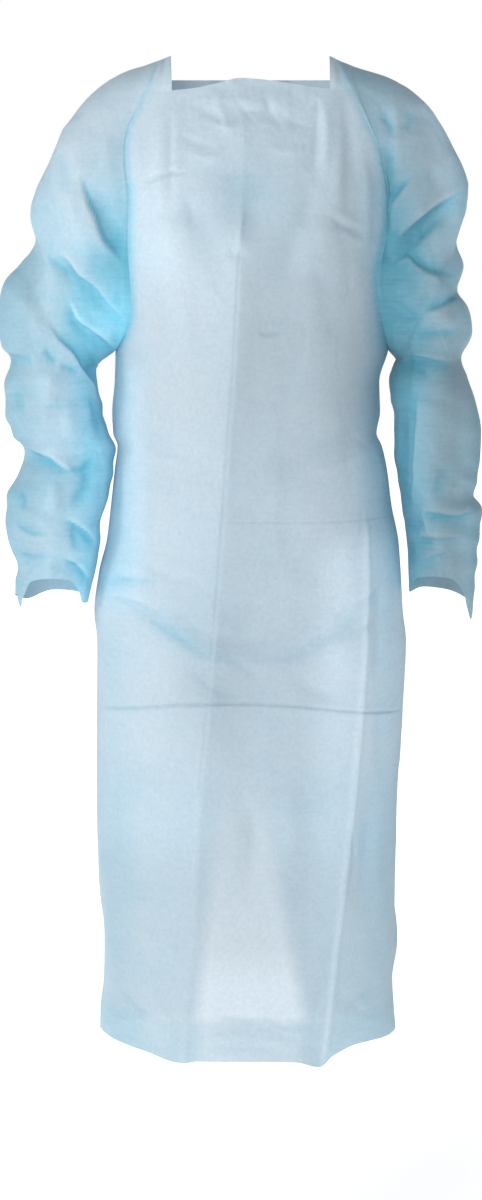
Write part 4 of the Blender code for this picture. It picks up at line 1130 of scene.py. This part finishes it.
def floor_material():
    mat = bpy.data.materials.new("studio_white")
    mat.use_nodes = True
    nodes, links = mat.node_tree.nodes, mat.node_tree.links
    shader = nodes["Principled BSDF"]
    grain = nodes.new("ShaderNodeTexNoise")
    grain.inputs["Scale"].default_value = 3.0
    ramp = nodes.new("ShaderNodeValToRGB")
    ramp.color_ramp.elements[0].color = (0.93, 0.935, 0.94, 1)
    ramp.color_ramp.elements[1].color = (0.95, 0.95, 0.955, 1)
    links.new(grain.outputs["Fac"], ramp.inputs["Fac"])
    links.new(ramp.outputs["Color"], shader.inputs["Base Color"])
    shader.inputs["Roughness"].default_value = 0.9
    shader.inputs["Specular IOR Level"].default_value = 0.1
    shader.inputs["Emission Color"].default_value = (1, 1, 1, 1)
    place = nodes.new("ShaderNodeTexCoord")
    near = nodes.new("ShaderNodeVectorMath")
    near.operation = "SCALE"
    near.inputs["Scale"].default_value = 1 / 4.0
    links.new(place.outputs["Object"], near.inputs[0])
    fall = nodes.new("ShaderNodeTexGradient")
    fall.gradient_type = "SPHERICAL"
    links.new(near.outputs["Vector"], fall.inputs["Vector"])
    strength = nodes.new("ShaderNodeMapRange")
    strength.inputs["From Min"].default_value = 0.0
    strength.inputs["From Max"].default_value = 0.6
    strength.inputs["To Min"].default_value = 1.0
    strength.inputs["To Max"].default_value = 0.54
    links.new(fall.outputs["Fac"], strength.inputs["Value"])
    links.new(strength.outputs["Result"], shader.inputs["Emission Strength"])
    return mat


# ------------------------------------------------------------------------------------------------------------ tones


def body_tone_and_painted_light(points):
    """Colour (tone) over the body and a brightness factor. Paler in the middle, with painted light where light comes
    through the cloth between the legs; deeper in colour along the seams; painted shade at the gathers and creases, down
    the two sides of the skirt over the legs, at the middle of the chest, right of the main pleat and over the upper
    right side;
    painted highlights along the pressed ridges, and painted light on the left side and the lower right."""
    x, y, z = points[:, 0], points[:, 1], points[:, 2]
    ahead = ease((20 - y) / 60)
    pale = 0.56 + 0.0 * x
    # deeper in colour towards the upper sides, more on the right, where it is painted shade
    pale -= np.where(x < 0, 0.09, 0.15) * ease((np.abs(x) - 100) / 40) * ease((-z - 90) / 70) * ease((z + 640) / 90)
    pale -= 0.05 * ahead * np.exp(-(((z + 720) / 100) ** 2 + ((x + 46) / 70) ** 2))
    pale -= 0.15 * ease((np.abs(x) - 112) / 50)
    # painted shade at the middle of the chest
    pale -= 0.12 * ahead * np.exp(-(((x - 2) / 62) ** 2 + ((z + 158) / 62) ** 2))
    # painted light left of the middle
    pale += 0.05 * ahead * np.exp(-((x + 70) / 60) ** 2) * np.exp(-((z + 400) / 120) ** 2)
    # painted light through the cloth in the gap between the legs, and painted shade down the two sides of the skirt
    # over the legs
    low = ease((-z - 780) / 60)
    reach = np.interp(-z, (835, 1090), (25, 61))
    middle = np.interp(-z, (835, 1090), (-9, 0))
    backlit_gap = 1 - ease((np.abs(x - middle) - reach + 13) / 26)
    pale += ahead * low * ((0.12 * ease((-z - 825) / 60) + 0.13 * ease((-z - 900) / 150)) * backlit_gap * ease((z + 1104) / 16) - 0.10 * (1 - backlit_gap) * (1 - 0.4 * ease((np.abs(x) - 128) / 30)))
    pale -= 0.10 * ahead * np.exp(-((z + 640) / 60) ** 2) * np.exp(-((x + 70) / 60) ** 2)
    pale -= 0.06 * ahead * np.exp(-((z + 500) / 70) ** 2) * np.exp(-((x + 40) / 80) ** 2)
    pale -= 0.07 * ease((-z - 1092) / 14)
    side = np.where(x < 0, ARM["front", -1](z), ARM["front", 1](z))
    seam = np.exp(-((np.abs(x) - np.abs(side)) / 7) ** 2) * ease((z + 345) / 20)
    pale -= 0.26 * ahead * seam
    # painted highlights along the two pressed ridges
    ridge = np.interp(-z, (58, 126, 226, 327, 429, 608, 722, 838, 1013, 1152), (-7, -8, -12, -17, -24, -37, -46, -57, -66, -80))
    beyond = np.maximum(x - ridge, 0)
    second = np.interp(-z, (512, 600, 660, 750, 843, 959, 1152), (129, 130, 129, 123, 115, 103, 83))
    ridge_highlight = 0.7 * np.exp(-(((x - ridge) / 3.4) ** 2)) * ease((-z - 590) / 60) + np.exp(-(((x - second) / 3.4) ** 2)) * ease((-z - 505) / 20)
    pale += 0.09 * ahead * ridge_highlight
    high = ease((-z - 150) / 90) * (1 - 0.75 * ease((-z - 400) / 120)) * (1 - ease((-z - 840) / 120))
    # painted shade along the belly crease and along the crease above it on the left
    curve = np.interp(x, (-149, -97, -51, -17, 56, 108, 142), (-615, -644, -671, -677, -672, -643, -612))
    pale -= 0.11 * ahead * np.exp(-(((z - curve - 3) / 13) ** 2)) * ease((x + 165) / 60) * ease((158 - x) / 40)
    pale -= 0.09 * ahead * np.exp(-(((z + 594 - 0.1 * (x + 140)) / 9) ** 2)) * ease((-90 - x) / 30)
    pale += 0.07 * ahead * np.exp(-(((z + 560) / 40) ** 2 + ((x - 96) / 44) ** 2))
    pale += 0.05 * ahead * np.exp(-(((z + 690) / 34) ** 2 + ((x - 92) / 40) ** 2))
    pale += 0.06 * ahead * np.exp(-(((z + 700) / 40) ** 2 + ((x + 100) / 44) ** 2))
    # brightness factor: painted shade right of the main pleat
    tint_and_painted_light = 0.87 - 0.09 * ahead * high * ease(beyond / 2.5) * np.exp(-beyond / 260)
    tint_and_painted_light -= 0.05 * ahead * ease(beyond / 20) * np.exp(-((z + 320) / 100) ** 2) + 0.02 * ahead * np.exp(-((z + 320) / 110) ** 2)
    # painted shade over the upper right side
    tint_and_painted_light -= 0.12 * ahead * ease((x - 62) / 60) * ease((-z - 90) / 60) * ease((z + 470) / 80)
    # painted shade at the middle of the chest
    tint_and_painted_light -= 0.05 * ahead * np.exp(-(((z + 165) / 40) ** 2 + ((x + 30) / 50) ** 2))
    tint_and_painted_light -= 0.13 * ahead * np.exp(-(((z + 705) / 95) ** 2 + ((x + 42) / 58) ** 2))
    # painted highlights along the ridges
    tint_and_painted_light += 0.045 * ahead * ridge_highlight
    # painted light in the gap between the legs, painted shade over the legs
    tint_and_painted_light += 0.10 * ahead * backlit_gap * ease((-z - 1000) / 60) * ease((z + 1104) / 16)
    tint_and_painted_light -= 0.09 * ahead * ease((-z - 860) / 90) * (1 - backlit_gap)
    # painted light on the lower right
    tint_and_painted_light *= 1 + 0.22 * ahead * ease((x - 50) / 60) * ease((-z - 520) / 60)
    # painted light on the upper left
    tint_and_painted_light += 0.08 * ahead * ease((-x - 40) / 60) * ease((-z - 90) / 60) * ease((z + 290) / 80)
    tint_and_painted_light -= 0.05 * ahead * ease((-x + 10) / 40) * np.exp(-(((z + 370) / 90) ** 2))
    # deeper in colour down the left side, with painted light there
    pale -= 0.05 * ahead * ease((-x - 100) / 30) * ease((-z - 330) / 40) * ease((z + 650) / 60)
    tint_and_painted_light += 0.12 * ahead * ease((-x - 110) / 24) * ease((-z - 330) / 40) * ease((z + 650) / 60)
    return pale, tint_and_painted_light


def sleeve_tone_and_painted_light(points, height, painted_shade, place, edge):
    """Paler along the middle of the sleeve and deeper in colour at the seam; painted shade in the troughs, under the
    ledges and on the inner side, painted light on raised parts, and a brightness factor that paints the right sleeve
    darker as if in shade and evens out the lit and shaded sides of both sleeves.
    """
    x, z = np.abs(points[:, 0]), points[:, 2]
    height, painted_shade = height.ravel(), painted_shade.ravel()
    place = np.repeat(place[:, 0], len(x) // len(place))
    axis = np.interp(-z, (60, 160, 300, 450, 600), (185, 208, 232, 228, 230))
    pale = (0.13 if edge > 0 else 0.18) + (0.14 if edge > 0 else 0.11) * np.exp(-((x - axis) / 34) ** 2)
    pale += (0.13 if edge > 0 else 0.17) * ease((z + 240) / 150)
    # painted shade on the inner side, towards the body
    pale -= 0.15 * ease((axis - 14 - x) / 34) * ease((-z - 170) / 70)
    # painted shade in the troughs and under the ledges
    pale -= 0.12 * np.clip(-height / 7.0, 0, 1) + 0.40 * painted_shade
    # painted light on raised parts
    pale += 0.06 * np.clip(height / 6.0, 0, 1)
    pale -= 0.11 * (1 - ease((place - 0.5) / 2.0)) * ease((-z - 60) / 60)
    within, beyond = ease((axis - x - 6) / 45), ease((x - axis + 2) / 28)
    if edge < 0:
        # brightness factor: painted light on the lower inner side and painted shade on the outer side, evening out the
        # lit and shaded sides of the sleeve
        tint_and_painted_light = (0.87 - 0.05 * ease((z + 200) / 100)) * (1 + 0.34 * within * ease((-z - 230) / 70)) * (1 - 0.15 * beyond * ease((-z - 170) / 70))
        pale += 0.08 * within * ease((z + 235) / 50)
        pale += 0.05 * within * ease((-z - 330) / 60)
    else:
        # brightness factor: painted shade over the whole right sleeve, as if in the body's shadow, lifted by painted
        # light on its inner and outer sides, towards the top and in the shade of its creases
        tint_and_painted_light = (0.66 - 0.14 * ease((-z - 300) / 70)) * (1 + 0.48 * within * ease((-z - 340) / 50)) * (1 + 0.38 * beyond) * (1 + 0.16 * painted_shade)
        tint_and_painted_light *= 1 + 0.16 * ease((z + 130) / 70)
        # painted shade in a band across the upper inner part, a shadowed trough
        pale -= 0.17 * np.exp(-(((z + 205) / 62) ** 2)) * ease((206 - x) / 44)
    return np.clip(pale, -0.1, 1.0), tint_and_painted_light


# ------------------------------------------------------------------------------------------------------------ making

bpy.context.scene.render.film_transparent = False

fabric_front = cloth_material("nonwoven_front", 1)
fabric_back = cloth_material("nonwoven_back", 2)
fabric_sleeve = cloth_material("nonwoven_sleeve", 3, 0.2)
fabric_tie = cloth_material("nonwoven_tie", 4)

front, front_painted_shade = front_grid()
last = front.shape[1] - 1
strap_columns = {-1: list(range(0, FRONT_STEPS[0] + 1)), 1: list(range(last, last - FRONT_STEPS[3] - 1, -1))}
front_straps = {edge: strap_rows(front[0], strap_columns[edge], edge, "front") for edge in (-1, 1)}
pieces = {"front_panel": panel("front_cloth", front, front_painted_shade, [(strap_columns[e], front_straps[e]) for e in (-1, 1)], fabric_front)}

backs = {}
for edge, word in ((-1, "left"), (1, "right")):
    back, back_painted_shade = back_grid(edge)
    across = list(range(0, BACK_STRAP_STEPS + 1))
    strap = strap_rows(back[0], across, edge, "back")
    backs[edge] = back
    pieces["back_panel_" + word] = panel("back_cloth_" + word, back, back_painted_shade, [(across, strap)], fabric_back, flip=edge < 0)
    rim = seam_rim(edge, front, front_straps[edge], back, strap)
    grid, height, painted_shade, place = sleeve_grid(edge, rim)
    grid[4:] = clear_of_body(grid[4:])
    made = new_object("sleeve_cloth_" + word, grid, quads(*grid.shape[:2], closed=True, flip=edge > 0), fabric_sleeve, *sleeve_tone_and_painted_light(grid.reshape(-1, 3), height, painted_shade, place, edge))
    pieces["sleeve_" + word] = made

cloth = tree_of(pieces["back_panel_left"], pieces["back_panel_right"])
for k, (name, edge, *sizes) in enumerate(TIES):
    pieces[name] = ribbon(name.replace("tie", "strip"), band_route(edge, *sizes), cloth, TIE_LIFT, fabric_tie, k)
for k, (name, edge, *sizes) in enumerate(TIE_ENDS):
    pieces[name] = ribbon(name.replace("end", "tail"), end_route(edge, *sizes), cloth, END_LIFT, fabric_tie, k + 5)
for name, z, size in KNOTS:
    y = cloth.ray_cast((0.0, 400.0, z), (0.0, -1.0, 0.0))[0][1] + 1.2 + size[1] / 2
    pieces[name] = knot(name.replace("knot", "tied_knot"), (0.0, y, z), size, fabric_tie)

for node, piece in pieces.items():
    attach(piece, "root")
    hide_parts(node)

# ------------------------------------------------------------------------------------------------------------- stage

floor_mesh = bpy.data.meshes.new("floor")
floor_mesh.from_pydata([(-14, -14, -1.56), (14, -14, -1.56), (14, 14, -1.56), (-14, 14, -1.56)], [], [(0, 1, 2, 3)])
floor = bpy.data.objects.new("floor", floor_mesh)
bpy.context.collection.objects.link(floor)
floor_mesh.materials.append(floor_material())

world = bpy.data.worlds.new("studio")
bpy.context.scene.world = world
world.use_nodes = True
wn, wl = world.node_tree.nodes, world.node_tree.links
wn.clear()
world_out = wn.new("ShaderNodeOutputWorld")
seen, soft = wn.new("ShaderNodeBackground"), wn.new("ShaderNodeBackground")
seen.inputs["Strength"].default_value = 1.0
seen.inputs["Color"].default_value = (1, 1, 1, 1)
soft.inputs["Strength"].default_value = 0.24
soft.inputs["Color"].default_value = (0.96, 0.98, 1.0, 1)
path = wn.new("ShaderNodeLightPath")
pick = wn.new("ShaderNodeMixShader")
wl.new(path.outputs["Is Camera Ray"], pick.inputs["Fac"])
wl.new(soft.outputs[0], pick.inputs[1])
wl.new(seen.outputs[0], pick.inputs[2])
wl.new(pick.outputs[0], world_out.inputs["Surface"])


def area_light(name, place, target, size, power, colour=(1, 1, 1)):
    data = bpy.data.lights.new(name, "AREA")
    data.shape = "SQUARE"
    data.size = size
    data.energy = power
    data.color = colour
    item = bpy.data.objects.new(name, data)
    bpy.context.collection.objects.link(item)
    item.location = place
    item.rotation_euler = (Vector(target) - Vector(place)).to_track_quat("-Z", "Y").to_euler()
    item.visible_camera = False
    return item


area_light("key", (-4.0, -1.35, 0.9), (0.0, 0.0, -0.6), 1.1, 69, (1.0, 0.965, 0.95))
area_light("front", (-1.3, -4.3, 1.5), (0.0, 0.0, -0.6), 1.8, 112, (1.0, 1.0, 1.0))
area_light("behind", (0.3, 3.2, 0.2), (0.0, 0.0, -0.6), 2.6, 14, (1.0, 1.0, 1.0))

EYE, AIM = Vector((-0.0104, -4.5, -0.05)), Vector((-0.0104, 0.0, -0.624))
camera_data = bpy.data.cameras.new("camera")
camera_data.lens = 117.32
camera_data.sensor_width = 36.0
camera_data.sensor_fit = "AUTO"
camera = bpy.data.objects.new("camera", camera_data)
bpy.context.collection.objects.link(camera)
camera.location = EYE
camera.rotation_euler = (AIM - EYE).to_track_quat("-Z", "Y").to_euler()
bpy.context.scene.camera = camera
bpy.context.scene.view_settings.view_transform = "Standard"
bpy.context.scene.view_settings.look = "None"
